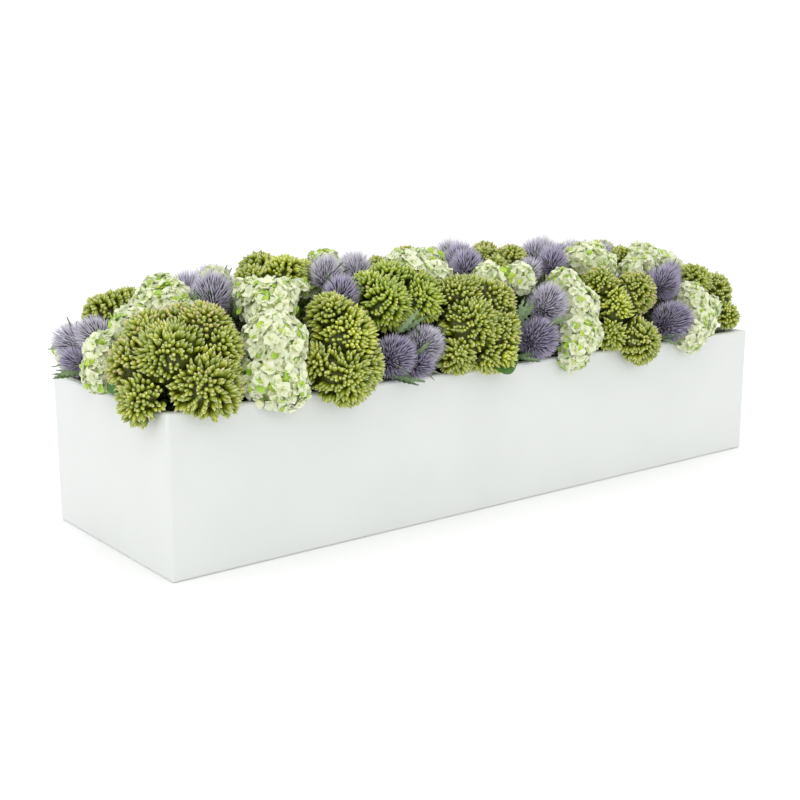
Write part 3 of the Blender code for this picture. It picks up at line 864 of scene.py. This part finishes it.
def new_material(name, roughness, **plain):
    """A material, its tree and its shader, with values that are the same all over."""
    material = bpy.data.materials.new(name)
    material.use_nodes = True
    shader = material.node_tree.nodes["Principled BSDF"]
    shader.inputs["Roughness"].default_value = roughness
    for label, value in plain.items():
        shader.inputs[label.replace("_", " ")].default_value = value
    return material, Tree(material.node_tree), shader


def ramp(tree, share, *stops):
    """A colour that changes along a share from 0 to 1, by (place, colour) stops."""
    node = tree.node("ShaderNodeValToRGB", {"Fac": share})
    elements = node.color_ramp.elements
    while len(elements) < len(stops):
        elements.new(1.0)
    for element, (place, colour) in zip(elements, stops):
        element.position = place
        element.color = (*colour, 1)
    return node.outputs["Color"]


def spread_out(tree, colour, amount):
    inputs = {"Colour": colour, "Tint": read(tree, "tint"), "Amount": amount}
    return tree.node("ShaderNodeGroup", inputs, node_tree=natural_spread).outputs[0]


def veins_at(tree, along):
    inputs = {"Across": read(tree, "across"), "Along": along}
    return tree.node("ShaderNodeGroup", inputs, node_tree=veins).outputs[0]


def bump(tree, shader, height, strength, distance):
    inputs = {"Strength": strength, "Distance": distance, "Height": height}
    tree.plug(shader.inputs["Normal"], tree.node("ShaderNodeBump", inputs).outputs[0])


def dress(tree, shader, colour, amount):
    """Gives the shader its colour, spread out from piece to piece, and green on the stems."""
    whole = mix_colour(tree, read(tree, "stem"), colour, STEM_GREEN)
    tree.plug(shader.inputs["Base Color"], spread_out(tree, whole, amount))


print("green of the stems:", STEM_GREEN)

# %% The buds' material
PINK_BLUSH = (0.76, 0.52, 0.37)
BLUSHED_TIP = (0.72, 0.95)


def stonecrop_material():
    material, tree, shader = new_material("stonecrop_buds", roughness=0.42)
    along = read(tree, "along")
    # Both ramps paint shade at the neck, darkest at the root and lifting towards the belly. At the
    # very tip they paint a highlight over the cream of the real tips. The heads' cores carry no
    # height, so they take the painted shade of the root.
    olive = ramp(
        tree, along,
        (0.0, (0.100, 0.108, 0.006)), (0.35, (0.175, 0.208, 0.009)),
        (0.70, (0.262, 0.312, 0.018)), (0.86, (0.43, 0.49, 0.10)), (0.97, (0.80, 0.80, 0.53)),
    )
    fresh = ramp(
        tree, along,
        (0.0, (0.055, 0.078, 0.004)), (0.35, (0.143, 0.204, 0.005)),
        (0.70, (0.255, 0.345, 0.014)), (0.86, (0.42, 0.52, 0.07)), (0.97, (0.74, 0.78, 0.42)),
    )
    colour = mix_colour(tree, read(tree, "tone"), olive, fresh)
    at_tip = tree.map_range(along, *BLUSHED_TIP, 0.0, 1.0)
    blushed = tree.times(at_tip, read(tree, "blush"))
    dress(tree, shader, mix_colour(tree, blushed, colour, PINK_BLUSH), amount=0.5)
    return material


stonecrop_green = stonecrop_material()
print("buds:", stonecrop_green.name)

# %% The bristles' material
def seaholly_material():
    material, tree, shader = new_material("seaholly_bristles", roughness=0.6)
    along = read(tree, "along")
    # Both ramps darken the bristles towards the root. This is painted shade deep in the head, laid
    # over their own darker violet base. The pale tips are partly their frosted colour and partly
    # painted light. The cores carry no height, so they take the root's painted shade.
    grey = ramp(
        tree, along,
        (0.0, (0.205, 0.195, 0.215)), (0.45, (0.575, 0.550, 0.635)), (1.0, (0.86, 0.85, 0.92)),
    )
    violet = ramp(
        tree, along,
        (0.0, (0.085, 0.068, 0.112)), (0.45, (0.290, 0.245, 0.410)), (1.0, (0.66, 0.61, 0.78)),
    )
    dress(tree, shader, mix_colour(tree, read(tree, "tone"), grey, violet), amount=0.6)
    return material


seaholly_lilac = seaholly_material()
print("bristles:", seaholly_lilac.name)

# %% The petals' material
VEIN_GREEN = (0.42, 0.54, 0.19)
PETAL_VEIN_SHARE = 0.12


def snowball_material():
    material, tree, shader = new_material(
        "snowball_petals", roughness=0.55, Subsurface_Weight=0.3, Subsurface_Scale=3 * MM,
        Subsurface_Radius=(1.0, 1.0, 0.9),
    )
    along = read(tree, "along")
    pale = ramp(
        tree, along,
        (0.0, (0.80, 0.90, 0.40)), (0.3, (0.86, 0.92, 0.55)), (1.0, (0.89, 0.92, 0.73)),
    )
    lime = ramp(tree, along, (0.0, (0.30, 0.48, 0.020)), (1.0, (0.49, 0.74, 0.045)))
    colour = mix_colour(tree, read(tree, "blush"), pale, lime)
    faint = tree.times(veins_at(tree, along), PETAL_VEIN_SHARE)
    dress(tree, shader, mix_colour(tree, faint, colour, VEIN_GREEN), amount=0.1)
    return material


snowball_cream = snowball_material()
print("petals:", snowball_cream.name)

# %% The leaves' materials
LEAF_VEIN_SHARE = 0.35


def leaf_material(name, dark, light, roughness):
    material, tree, shader = new_material(name, roughness)
    along = read(tree, "along")
    marks = veins_at(tree, along)
    colour = ramp(tree, along, (0.0, dark), (1.0, light))
    colour = mix_colour(tree, tree.times(marks, LEAF_VEIN_SHARE), colour, light)
    tree.plug(shader.inputs["Base Color"], spread_out(tree, colour, amount=0.3))
    bump(tree, shader, marks, strength=0.4, distance=0.3 * MM)
    return material


sage_leaf = leaf_material("sage_leaf", (0.09, 0.14, 0.06), (0.28, 0.40, 0.20), 0.6)
glossy_leaf = leaf_material("glossy_leaf", (0.030, 0.105, 0.006), (0.065, 0.200, 0.012), 0.35)
under_leaf = leaf_material("under_leaf", (0.045, 0.075, 0.012), (0.150, 0.220, 0.035), 0.55)
print("leaves:", sage_leaf.name, glossy_leaf.name, under_leaf.name)

# %% [markdown]
# ## Growing the sprays
#
# Now every spray is made: the cores and spots of its heads go into one carrier mesh, the cover tree
# grows the pieces on it, and the result is kept as a plain mesh with the modifier gone. A seed per
# spray gives the same flowers on every run.

# %% A ball for the heads' cores
CORE_SUBDIVISIONS = 2


def unit_ball():
    bm = bmesh.new()
    bmesh.ops.create_icosphere(bm, subdivisions=CORE_SUBDIVISIONS, radius=1)
    points = np.array([v.co for v in bm.verts])
    faces = np.array([[v.index for v in f.verts] for f in bm.faces])
    bm.free()
    return points, faces


BALL_POINTS, BALL_FACES = unit_ball()
print("core faces on a head:", len(BALL_FACES))

# %% The carrier of a spray's spots
LEAST_CORE = 0.4
STEM_SIDES = 5
VECTORS = ("facing", "pointing")
NUMBERS = ("spot", "size", "tint", "tone", "blush", "stem")


class Carrier:
    """Collects the cores and spots of a spray, then becomes one mesh with point attributes."""

    def __init__(self):
        self.points = []
        self.faces = []
        self.values = {key: [] for key in VECTORS + NUMBERS}
        self.total = 0

    def add(self, points, **values):
        self.points.append(points)
        for key, column in self.values.items():
            width = 3 if key in VECTORS else 1
            column.append(np.broadcast_to(values.get(key, 0.0), (len(points), width)))
        self.total += len(points)

    def add_core(self, head, inset, tone):
        """A closed ball under the buds or petals, which meets the cores of the head's kin."""
        free = np.minimum(surface(head, BALL_POINTS)[0], distance_to(head.planes, BALL_POINTS))
        depth = np.maximum(free - inset, LEAST_CORE * free)
        depth = np.minimum(depth, distance_to(head.kin_planes, BALL_POINTS))
        self.faces.append(BALL_FACES + self.total)
        self.add(head.centre + BALL_POINTS * depth[:, None], tint=0.5, tone=tone)

    def add_stem(self, start, end, radius):
        """A closed tube of triangles between two points."""
        turn = np.arange(STEM_SIDES) * 2 * math.pi / STEM_SIDES
        along = np.repeat(unit(end - start)[None], STEM_SIDES, axis=0)
        ring = around(along, turn) * radius
        low = np.arange(STEM_SIDES)
        after = (low + 1) % STEM_SIDES
        high = low + STEM_SIDES
        sides = [np.stack(corners, axis=1) for corners in (
            (low, after, high), (after, after + STEM_SIDES, high),
        )]
        caps = [[(0, i + 1, i), (STEM_SIDES, STEM_SIDES + i, STEM_SIDES + i + 1)]
                for i in range(1, STEM_SIDES - 1)]
        faces = np.concatenate([*sides, *caps])
        self.faces.append(faces + self.total)
        self.add(np.concatenate([start + ring, end + ring]), tint=0.5, stem=1.0)

    def mesh(self, name):
        mesh = bpy.data.meshes.new(name)
        faces = np.concatenate(self.faces).tolist() if self.faces else []
        mesh.from_pydata(np.concatenate(self.points).tolist(), [], faces)
        for key, column in self.values.items():
            kind, field = ("FLOAT_VECTOR", "vector") if key in VECTORS else ("FLOAT", "value")
            flat = np.concatenate(column).astype(np.float32).ravel()
            mesh.attributes.new(key, kind, "POINT").data.foreach_set(field, flat)
        return mesh


print("values on each spot:", VECTORS + NUMBERS)

# %% Grow the pieces on a carrier
ONLY_FOR_PLACING = ("spot", "facing", "pointing", "size")


def grow(name, carrier, group, settings):
    """The plain mesh object that the cover tree grows on a carrier."""
    obj = bpy.data.objects.new(name, carrier.mesh(name))
    bpy.context.scene.collection.objects.link(obj)
    modifier = obj.modifiers.new("cover", "NODES")
    modifier.node_group = group
    for label, value in settings.items():
        modifier[input_of(group, label)] = value
    graph = bpy.context.evaluated_depsgraph_get()
    finished = bpy.data.meshes.new_from_object(obj.evaluated_get(graph))
    obj.modifiers.clear()
    obj.data = finished
    for key in ONLY_FOR_PLACING:
        found = finished.attributes.get(key)
        if found:
            finished.attributes.remove(found)
    return obj


print("values dropped from a finished piece:", ONLY_FOR_PLACING)

# %% [markdown]
# Which heads are yellower, fresher or blushed is seen in the arrangement: one big spray left of the
# middle is a fresh green, single heads lean to yellow, and the tips of some high heads are pinkish.
# Most sea holly heads are silvery and some are more violet.

# %% The tone and the blush of each head
FRESH_SPRAY = "stonecrop_08"
YELLOW_HEADS = {(-196, 152), (-196, 38), (-20, 3), (156, 38), (350, 92), (-165, 170)}
BLUSHED_HEADS = {
    (-360, 80), (-334, 86), (-322, 66), (-384, 34), (-74, 172), (-16, 198), (198, 52),
    (96, 196), (80, 136), (142, 200), (266, 172),
}
VIOLET_HEADS = {
    (-146, 15), (-121, 7), (-180, 84), (253, 60), (246, 14), (24, 156), (-2, 116), (118, 112),
    (37, 15), (172, 152), (286, 78), (-392, 98),
}
YELLOW_TONE = 0.7
YELLOW_LIFT = 0.35
OLIVE_TONES = (0, 0.3)
VIOLET_TONE = 0.8
SILVER_TONES = (0.05, 0.4)
LIME_SHARE = 0.15
BLUSHED_SHARE = 0.4
STRAY_BLUSH_SHARE = 0.03
BLUSH_STRENGTHS = (0.4, 1.0)


def tone_of(name, head, rng):
    if name == FRESH_SPRAY:
        return 1.0
    if name.startswith("stonecrop"):
        return YELLOW_TONE if head.place in YELLOW_HEADS else rng.uniform(*OLIVE_TONES)
    if name.startswith("seaholly"):
        return VIOLET_TONE if head.place in VIOLET_HEADS else rng.uniform(*SILVER_TONES)
    return 0.0


def blush_of(kind, head, count, rng):
    if kind == "snowball":
        return (rng.random(count) < LIME_SHARE).astype(float)
    if kind == "stonecrop":
        share = BLUSHED_SHARE if head.place in BLUSHED_HEADS else STRAY_BLUSH_SHARE
        return (rng.random(count) < share) * rng.uniform(*BLUSH_STRENGTHS, count)
    return np.zeros(count)


print("heads that lean to yellow, pink and violet:", len(YELLOW_HEADS), len(BLUSHED_HEADS),
      len(VIOLET_HEADS))

# %% Stems and branches
STEM_RADIUS = 2.4 * MM
BRANCH_RADIUS = 1.7 * MM
STEM_DEPTH = 20 * MM
STEM_UPRIGHT = 0.9
FORK_HEIGHT = 5 * MM
HANGS_BELOW = 14 * MM


def stems_of(heads):
    """One stem from the foam, and a branch from its fork to each head."""
    middle = Vector(np.mean([head.centre for head in heads], axis=0))
    foot, normal, _, _ = foam_tree.find_nearest(middle)
    upright = (normal + STEM_UPRIGHT * Vector((0, 0, 1))).normalized()
    foot, upright = np.array(foot), np.array(upright)
    fork = foot + upright * FORK_HEIGHT
    stems = [(foot - upright * STEM_DEPTH, fork, STEM_RADIUS)]
    for index, head in enumerate(heads):
        start = foot + upright * FORK_HEIGHT / 2
        if index and head.centre[2] < RIM + HANGS_BELOW:
            start = heads[index - 1].centre
        stems.append((start, head.centre, BRANCH_RADIUS))
    return stems


print("stems and branches of one spray:", len(stems_of(sprays["stonecrop_03"])))

# %% Grow the buds, bristles and petals
KIND = {
    "stonecrop": dict(
        spots=bud_spots, core=9.5 * MM, slot="stonecrop_green",
        cover=cover_group("Cover with buds", bud, stonecrop_green),
        settings={"Size spread": 0.08, "Crumple": 0.6 * MM},
    ),
    "seaholly": dict(
        spots=bristle_spots, core=9 * MM, slot="seaholly_lilac",
        cover=cover_group("Cover with bristles", bristle, seaholly_lilac),
        settings={"Size spread": 0.06, "Crumple": 0.6 * MM, "Crumple scale": 90.0},
    ),
    "snowball": dict(
        spots=petal_spots, core=5.5 * MM, slot="snowball_cream",
        cover=cover_group("Cover with petals", petal, snowball_cream),
        settings={"Size spread": 0.10, "Crumple": 1.6 * MM, "Crumple scale": 190.0},
    ),
}

pieces = []
for seed, (name, heads) in enumerate(sprays.items()):
    kind = name.split("_")[0]
    rng = np.random.default_rng(seed)
    carrier = Carrier()
    for start, end, radius in stems_of(heads):
        carrier.add_stem(start, end, radius)
    for head in heads:
        tone = tone_of(name, head, rng)
        carrier.add_core(head, KIND[kind]["core"], tone)
        roots, facing, pointing, size = KIND[kind]["spots"](head, rng)
        count = len(roots)
        carrier.add(
            roots, spot=1.0, facing=facing, pointing=pointing, size=size[:, None],
            tint=rng.random((count, 1)) + YELLOW_LIFT * (head.place in YELLOW_HEADS), tone=tone,
            blush=blush_of(kind, head, count, rng)[:, None],
        )
    settings = {**KIND[kind]["settings"], "Seed": seed}
    piece = grow(name + "_flowers", carrier, KIND[kind]["cover"], settings)
    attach(piece, "root")
    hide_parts(name)
    pieces.append(piece)
counts = {k: sum(len(p.data.polygons) for p in pieces if p.name.startswith(k)) for k in KIND}
print("faces of each kind:", counts)

# %% [markdown]
# ## Sea holly leaves
#
# Narrow sage green leaves with toothed edges stand between the sea holly heads, and show where the
# neighbours leave a gap. For each head several ways out are tried, and the freest are taken.

# %% Leaves between the heads
LEAF_TRIES = 16
LEAVES_A_HEAD = 4
LEAF_LEANS = (0.15, 0.75)
LEAF_ROOT_SHARE = 0.45
LEAF_PROUD = 6 * MM
SHORTEST_LEAF = 12 * MM
FIRST_LEAF_SEED = 1000

cover_leaves = cover_group("Cover with leaves", toothed_leaf, sage_leaf)
for seed, (name, heads) in enumerate(sprays.items()):
    if not name.startswith("seaholly"):
        continue
    rng = np.random.default_rng(FIRST_LEAF_SEED + seed)
    carrier = Carrier()
    for head in heads:
        turn = np.arange(LEAF_TRIES) * 2 * math.pi / LEAF_TRIES + rng.uniform(0, 1)
        axes = np.repeat(head.axis[None], LEAF_TRIES, axis=0)
        lean = rng.uniform(*LEAF_LEANS, LEAF_TRIES)[:, None]
        ways = around(axes, turn) * np.cos(lean) + axes * np.sin(lean)
        room = head.reach(ways, head.radius + LEAF_PROUD)
        best = np.argsort(rng.random(LEAF_TRIES) - (room > head.radius))[:LEAVES_A_HEAD]
        ways, room = ways[best], room[best]
        facing = square_part(head.axis, ways)
        length = np.maximum(room - head.radius * LEAF_ROOT_SHARE, SHORTEST_LEAF)
        carrier.add(
            head.centre + ways * (head.radius * LEAF_ROOT_SHARE), spot=1.0, facing=facing,
            pointing=ways, size=(length / LEAF["Length"])[:, None],
            tint=rng.random((len(best), 1)),
        )
    piece = grow(name + "_leaves", carrier, cover_leaves, {"Size spread": 0.1, "Seed": seed})
    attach(piece, "root")
    pieces.append(piece)
print("leaf pieces:", sum(p.name.endswith("_leaves") for p in pieces))

# %% [markdown]
# The arranger also tucked in a few sprigs of the same leaves, each a small fan that stands out
# between two heads. A sprig is given by its root, the way it points, the number of its leaves and
# their length in millimetres.

# %% Sprigs of sage leaves
SPRIGS = (
    ((-394, 16, 159), (-0.78, 0.62, -0.04), 6, 25),
    ((2, -112, 180), (0.8, -0.1, 0.6), 4, 36),
    ((-146, -114, 186), (0.85, 0.0, 0.5), 3, 34),
    ((-156, -116, 148), (0.85, -0.3, -0.25), 3, 34),
    ((4, -116, 149), (0.95, -0.2, 0.0), 4, 28),
    ((40, -119, 178), (0.9, -0.1, 0.25), 2, 26),
    ((-312, -38, 208), (0.3, 0.0, 0.9), 3, 26),
    ((-284, -58, 206), (0.1, 0.0, 1.0), 2, 26),
    ((-129, -119, 165), (0.6, -0.2, 0.6), 2, 22),
    ((222, -116, 148), (0.9, -0.25, -0.1), 3, 30),
)
SPRIG_FACES = np.array([0.0, -0.7, 0.7])
SPRIG_FAN = 0.22
SPRIG_SIZES = (0.85, 1.05)
SPRIG_SEED = 7

rng = np.random.default_rng(SPRIG_SEED)
carrier = Carrier()
for root, way, count, length in SPRIGS:
    ways = unit(np.array(way) + rng.normal(0, SPRIG_FAN, (count, 3)))
    facing = SPRIG_FACES + rng.normal(0, SPRIG_FAN, (count, 3))
    facing = square_part(facing, ways)
    carrier.add(
        np.tile(root, (count, 1)) * MM, spot=1.0, facing=facing, pointing=ways,
        size=rng.uniform(*SPRIG_SIZES, (count, 1)) * length * MM / LEAF["Length"],
        tint=rng.random((count, 1)),
    )
sprigs = grow("sprigs", carrier, cover_leaves, {"Size spread": 0.0})
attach(sprigs, "root")
print("leaves on sprigs:", sum(count for *_, count, _ in SPRIGS))

# %% [markdown]
# ## Broad leaves at the rim, and the green underneath
#
# One broad, glossy leaf lies over the front rim and a small one sticks out at the left corner. Both
# use the blade tree with sizes of their own. Each is given by its root in millimetres, the way it
# points, the way it faces and its size.

# %% Broad leaves
BROAD_LEAF = {
    "Length": 34 * MM, "Width": 27 * MM, "Thickness": 0.9 * MM, "Root": 0.12, "Taper": 0.84,
    "Round": 0.10, "Teeth": 0.0, "Cup": 0.05, "Curl": -0.10,
}
BROAD_PLACES = (
    ((-46, -122, 154), (1.0, -0.05, -0.04), (0.0, -0.8, 0.6), 1.45),
    ((-397, -50, 165), (-0.25, -0.75, -0.6), (-0.9, -0.1, 0.4), 0.55),
)

carrier = Carrier()
for root, pointing, facing, size in BROAD_PLACES:
    carrier.add(
        np.array([root]) * MM, spot=1.0, facing=unit(np.array([facing])),
        pointing=unit(np.array([pointing])), size=size, tint=0.5,
    )
broad_blade = blade_group("Broad leaf", BROAD_LEAF, columns=9, rows=13)
cover_broad = cover_group("Cover with broad leaves", broad_blade, glossy_leaf)
broad_leaves = grow("broad_leaves", carrier, cover_broad, {"Size spread": 0.0})
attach(broad_leaves, "root")
print("broad leaves:", len(BROAD_PLACES))

# %% [markdown]
# Between the heads one looks down on small dark leaves that hide the foam. They grow from random
# spots on the loaf and on the flat strip of foam between it and the walls, where they lean in.

# %% Leaves that hide the foam
UNDER_LEAF = {
    "Length": 20 * MM, "Width": 10 * MM, "Thickness": 0.6 * MM, "Root": 0.12, "Taper": 0.86,
    "Round": 0.08, "Teeth": 0.0, "Cup": 0.12, "Curl": 0.12,
}
UNDER_LEAVES = 2100
UNDER_SIZES = (0.7, 1.1)
UNDER_UPRIGHT = 0.35
UNDER_RISE = 0.55
UNDER_SPLAY = 0.6
UNDER_SEED = 5
SHUFFLED_FACES = 4
HIDDEN_BELOW_RIM = 8 * MM
LEAVES_BY_WALL = 760
TRIES_BY_WALL = 6 * LEAVES_BY_WALL
WALL_CLEAR = 13 * MM
LEANS_IN = (0.25, 0.7)
LOAF_CLEAR = 4 * MM


def spots_on_loaf(count, rng):
    """Random places on the part of the loaf above the rim, with the way out at each."""
    bmesh.ops.triangulate(loaf, faces=loaf.faces)
    faces = [f for f in loaf.faces if f.calc_center_median().z > RIM - LOAF_BELOW_RIM + MM]
    # Blender shuffles the first few triangles from run to run, so those are put in order.
    faces[:SHUFFLED_FACES] = sorted(faces[:SHUFFLED_FACES], key=lambda f: f.calc_center_median().z)
    areas = np.array([f.calc_area() for f in faces])
    picked = rng.choice(len(faces), count, p=areas / areas.sum())
    corners = np.array([[v.co for v in f.verts] for f in faces])[picked]
    shares = rng.dirichlet((1, 1, 1), count)
    return (corners * shares[..., None]).sum(axis=1), np.array([f.normal for f in faces])[picked]


def spots_by_wall(count, rng):
    """Random places on the flat foam between the loaf and the walls."""
    high = PLANTER_HIGH[:2] - WALL_CLEAR
    spots = rng.uniform(-high, high, (TRIES_BY_WALL, 2))
    loaf_half = np.array([LOAF_LENGTH, LOAF_WIDTH]) / 2 + LOAF_CLEAR
    spots = spots[(np.abs(spots) > loaf_half).any(axis=1)][:count]
    places = np.column_stack([spots, np.full(len(spots), RIM - LOAF_BELOW_RIM / 2)])
    inwards = -spots / PLANTER_HIGH[:2] * np.array(LEANS_IN)
    return places, np.column_stack([inwards, np.ones(len(spots))])


rng = np.random.default_rng(UNDER_SEED)
places, ways = spots_on_loaf(UNDER_LEAVES, rng)
above = places[:, 2] > RIM - HIDDEN_BELOW_RIM
wall_places, wall_ways = spots_by_wall(LEAVES_BY_WALL, rng)
places = np.concatenate([places[above], wall_places])
ways = unit(np.concatenate([ways[above], wall_ways]) + np.array([0, 0, UNDER_UPRIGHT]))
splayed = around(ways, rng.uniform(0, 2 * math.pi, len(ways)))
pointing = unit(ways * UNDER_RISE + splayed * UNDER_SPLAY)
facing = square_part(ways, pointing)
carrier = Carrier()
carrier.add(
    places, spot=1.0, facing=facing, pointing=pointing,
    size=rng.uniform(*UNDER_SIZES, (len(places), 1)), tint=rng.random((len(places), 1)),
)
cover_foam = cover_group(
    "Cover the foam", blade_group("Under leaf", UNDER_LEAF, columns=3, rows=4), under_leaf
)
settings = {"Size spread": 0.1, "Crumple": 1.5 * MM}
under_leaves = grow("under_leaves", carrier, cover_foam, settings)
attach(under_leaves, "root")
print("leaves that hide the foam:", len(places))

# %% [markdown]
# ## Planter and foam
#
# The planter is smooth and off-white with a satin finish and the faintest cloudiness, so its
# material is nearly one colour with slow noise, and a very shallow bump keeps its gloss from being
# perfect. The foam shows only as darkness between the flowers. It is brown-black and porous.

# %% Soft clouds, for the planter and the foam
CLOUDS_BETWEEN = (0.3, 0.7)


def clouds_group():
    """Slow noise with a little fine noise, between 0 and 1."""
    takes = {"Vector": "NodeSocketVector", "Scale": 8.0}
    tree = Tree.group("Soft clouds", "ShaderNodeTree", takes, "Clouds", "NodeSocketFloat")
    places = {"Vector": tree.inputs["Vector"], "Scale": tree.inputs["Scale"], "Detail": 5.0}
    noise = tree.node("ShaderNodeTexNoise", places).outputs[0]
    return tree.give(tree.map_range(noise, *CLOUDS_BETWEEN, 0.0, 1.0, smooth=True))


clouds = clouds_group()


def object_place(tree):
    return tree.node("ShaderNodeTexCoord").outputs["Object"]


def clouds_at(tree, scale):
    inputs = {"Vector": object_place(tree), "Scale": scale}
    return tree.node("ShaderNodeGroup", inputs, node_tree=clouds).outputs[0]


print(clouds.name, "inputs:", input_names(clouds))

# %% The planter's and the foam's materials
SATIN = (0.36, 0.46)


def planter_material():
    material, tree, shader = new_material("planter_white", roughness=0.4)
    slow = clouds_at(tree, scale=9.0)
    colour = mix_colour(tree, slow, (0.695, 0.718, 0.702), (0.725, 0.748, 0.732))
    tree.plug(shader.inputs["Base Color"], colour)
    tree.plug(shader.inputs["Roughness"], tree.map_range(slow, 0.0, 1.0, *SATIN))
    bump(tree, shader, clouds_at(tree, scale=260.0), strength=0.05, distance=0.2 * MM)
    return material


def foam_material():
    material, tree, shader = new_material("foam_dark", roughness=0.95)
    inputs = {"Vector": object_place(tree), "Scale": 420.0}
    pores = tree.node("ShaderNodeTexVoronoi", inputs).outputs[0]
    slow = clouds_at(tree, scale=60.0)
    colour = mix_colour(tree, slow, (0.012, 0.010, 0.006), (0.035, 0.030, 0.014))
    tree.plug(shader.inputs["Base Color"], mix_colour(tree, pores, (0.008, 0.007, 0.004), colour))
    bump(tree, shader, pores, strength=0.8, distance=1.5 * MM)
    return material


for node, material in (("planter", planter_material()), ("foam", foam_material())):
    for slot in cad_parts[node].material_slots:
        slot.material = material
print("planter and foam dressed")

# %% [markdown]
# ## Floor, light and camera
#
# A pale floor and soft white light from all round, with one large lamp above the camera's left, keep
# the shadows faint and the background white, as in a catalogue picture. The camera stands where the
# photographer stood: low, and to the left of the planter's near corner.

# %% Floor and light
FLOOR_SIZE = 40.0
FLOOR_WHITE = (0.97, 0.97, 0.97, 1)
LAMPS = {
    "key": ((-2.3, -1.1, 2.3), 1.6, 15),
    "fill": ((2.4, -1.6, 1.6), 2.0, 4),
    "top": ((0.2, 0.6, 2.6), 2.0, 12),
}
WORLD_STRENGTH = 1.04


def place_object(name, data, location, turn):
    obj = bpy.data.objects.new(name, data)
    obj.location = location
    obj.rotation_euler = turn
    bpy.context.scene.collection.objects.link(obj)
    return obj


def looking(way):
    """The turn of a lamp or a camera that looks this way."""
    return way.to_track_quat("-Z", "Y").to_euler()


bm = bmesh.new()
bmesh.ops.create_grid(bm, x_segments=1, y_segments=1, size=FLOOR_SIZE / 2)
floor_mesh = bpy.data.meshes.new("floor")
bm.to_mesh(floor_mesh)
bm.free()
floor_pale, _, floor_shader = new_material("floor_pale", roughness=0.9)
floor_shader.inputs["Base Color"].default_value = FLOOR_WHITE
floor_mesh.materials.append(floor_pale)
floor = place_object("floor", floor_mesh, (0, 0, 0), (0, 0, 0))

for name, (location, size, energy) in LAMPS.items():
    lamp = bpy.data.lights.new(name, "AREA")
    lamp.size = size
    lamp.energy = energy
    place_object(name, lamp, location, looking(-Vector(location)))

world = bpy.data.worlds.new("studio")
bpy.context.scene.world = world
world.use_nodes = True
background = world.node_tree.nodes["Background"]
background.inputs["Color"].default_value = (1, 1, 1, 1)
background.inputs["Strength"].default_value = WORLD_STRENGTH
bpy.context.scene.view_settings.view_transform = "Standard"
print("lamps:", list(LAMPS))

# %% Camera
CAMERA_PLACE = Vector((-0.812, -0.9615, 0.344))
CAMERA_AZIMUTH = math.radians(-38.3)
CAMERA_ELEVATION = math.radians(11.5)
CAMERA_LENS = 53.73

backwards = Vector((
    math.sin(CAMERA_AZIMUTH) * math.cos(CAMERA_ELEVATION),
    -math.cos(CAMERA_AZIMUTH) * math.cos(CAMERA_ELEVATION),
    math.sin(CAMERA_ELEVATION),
))
camera = bpy.data.cameras.new("camera")
camera.lens = CAMERA_LENS
camera_object = place_object("camera", camera, CAMERA_PLACE, looking(-backwards))
bpy.context.scene.camera = camera_object
print("camera lens:", CAMERA_LENS, "mm")
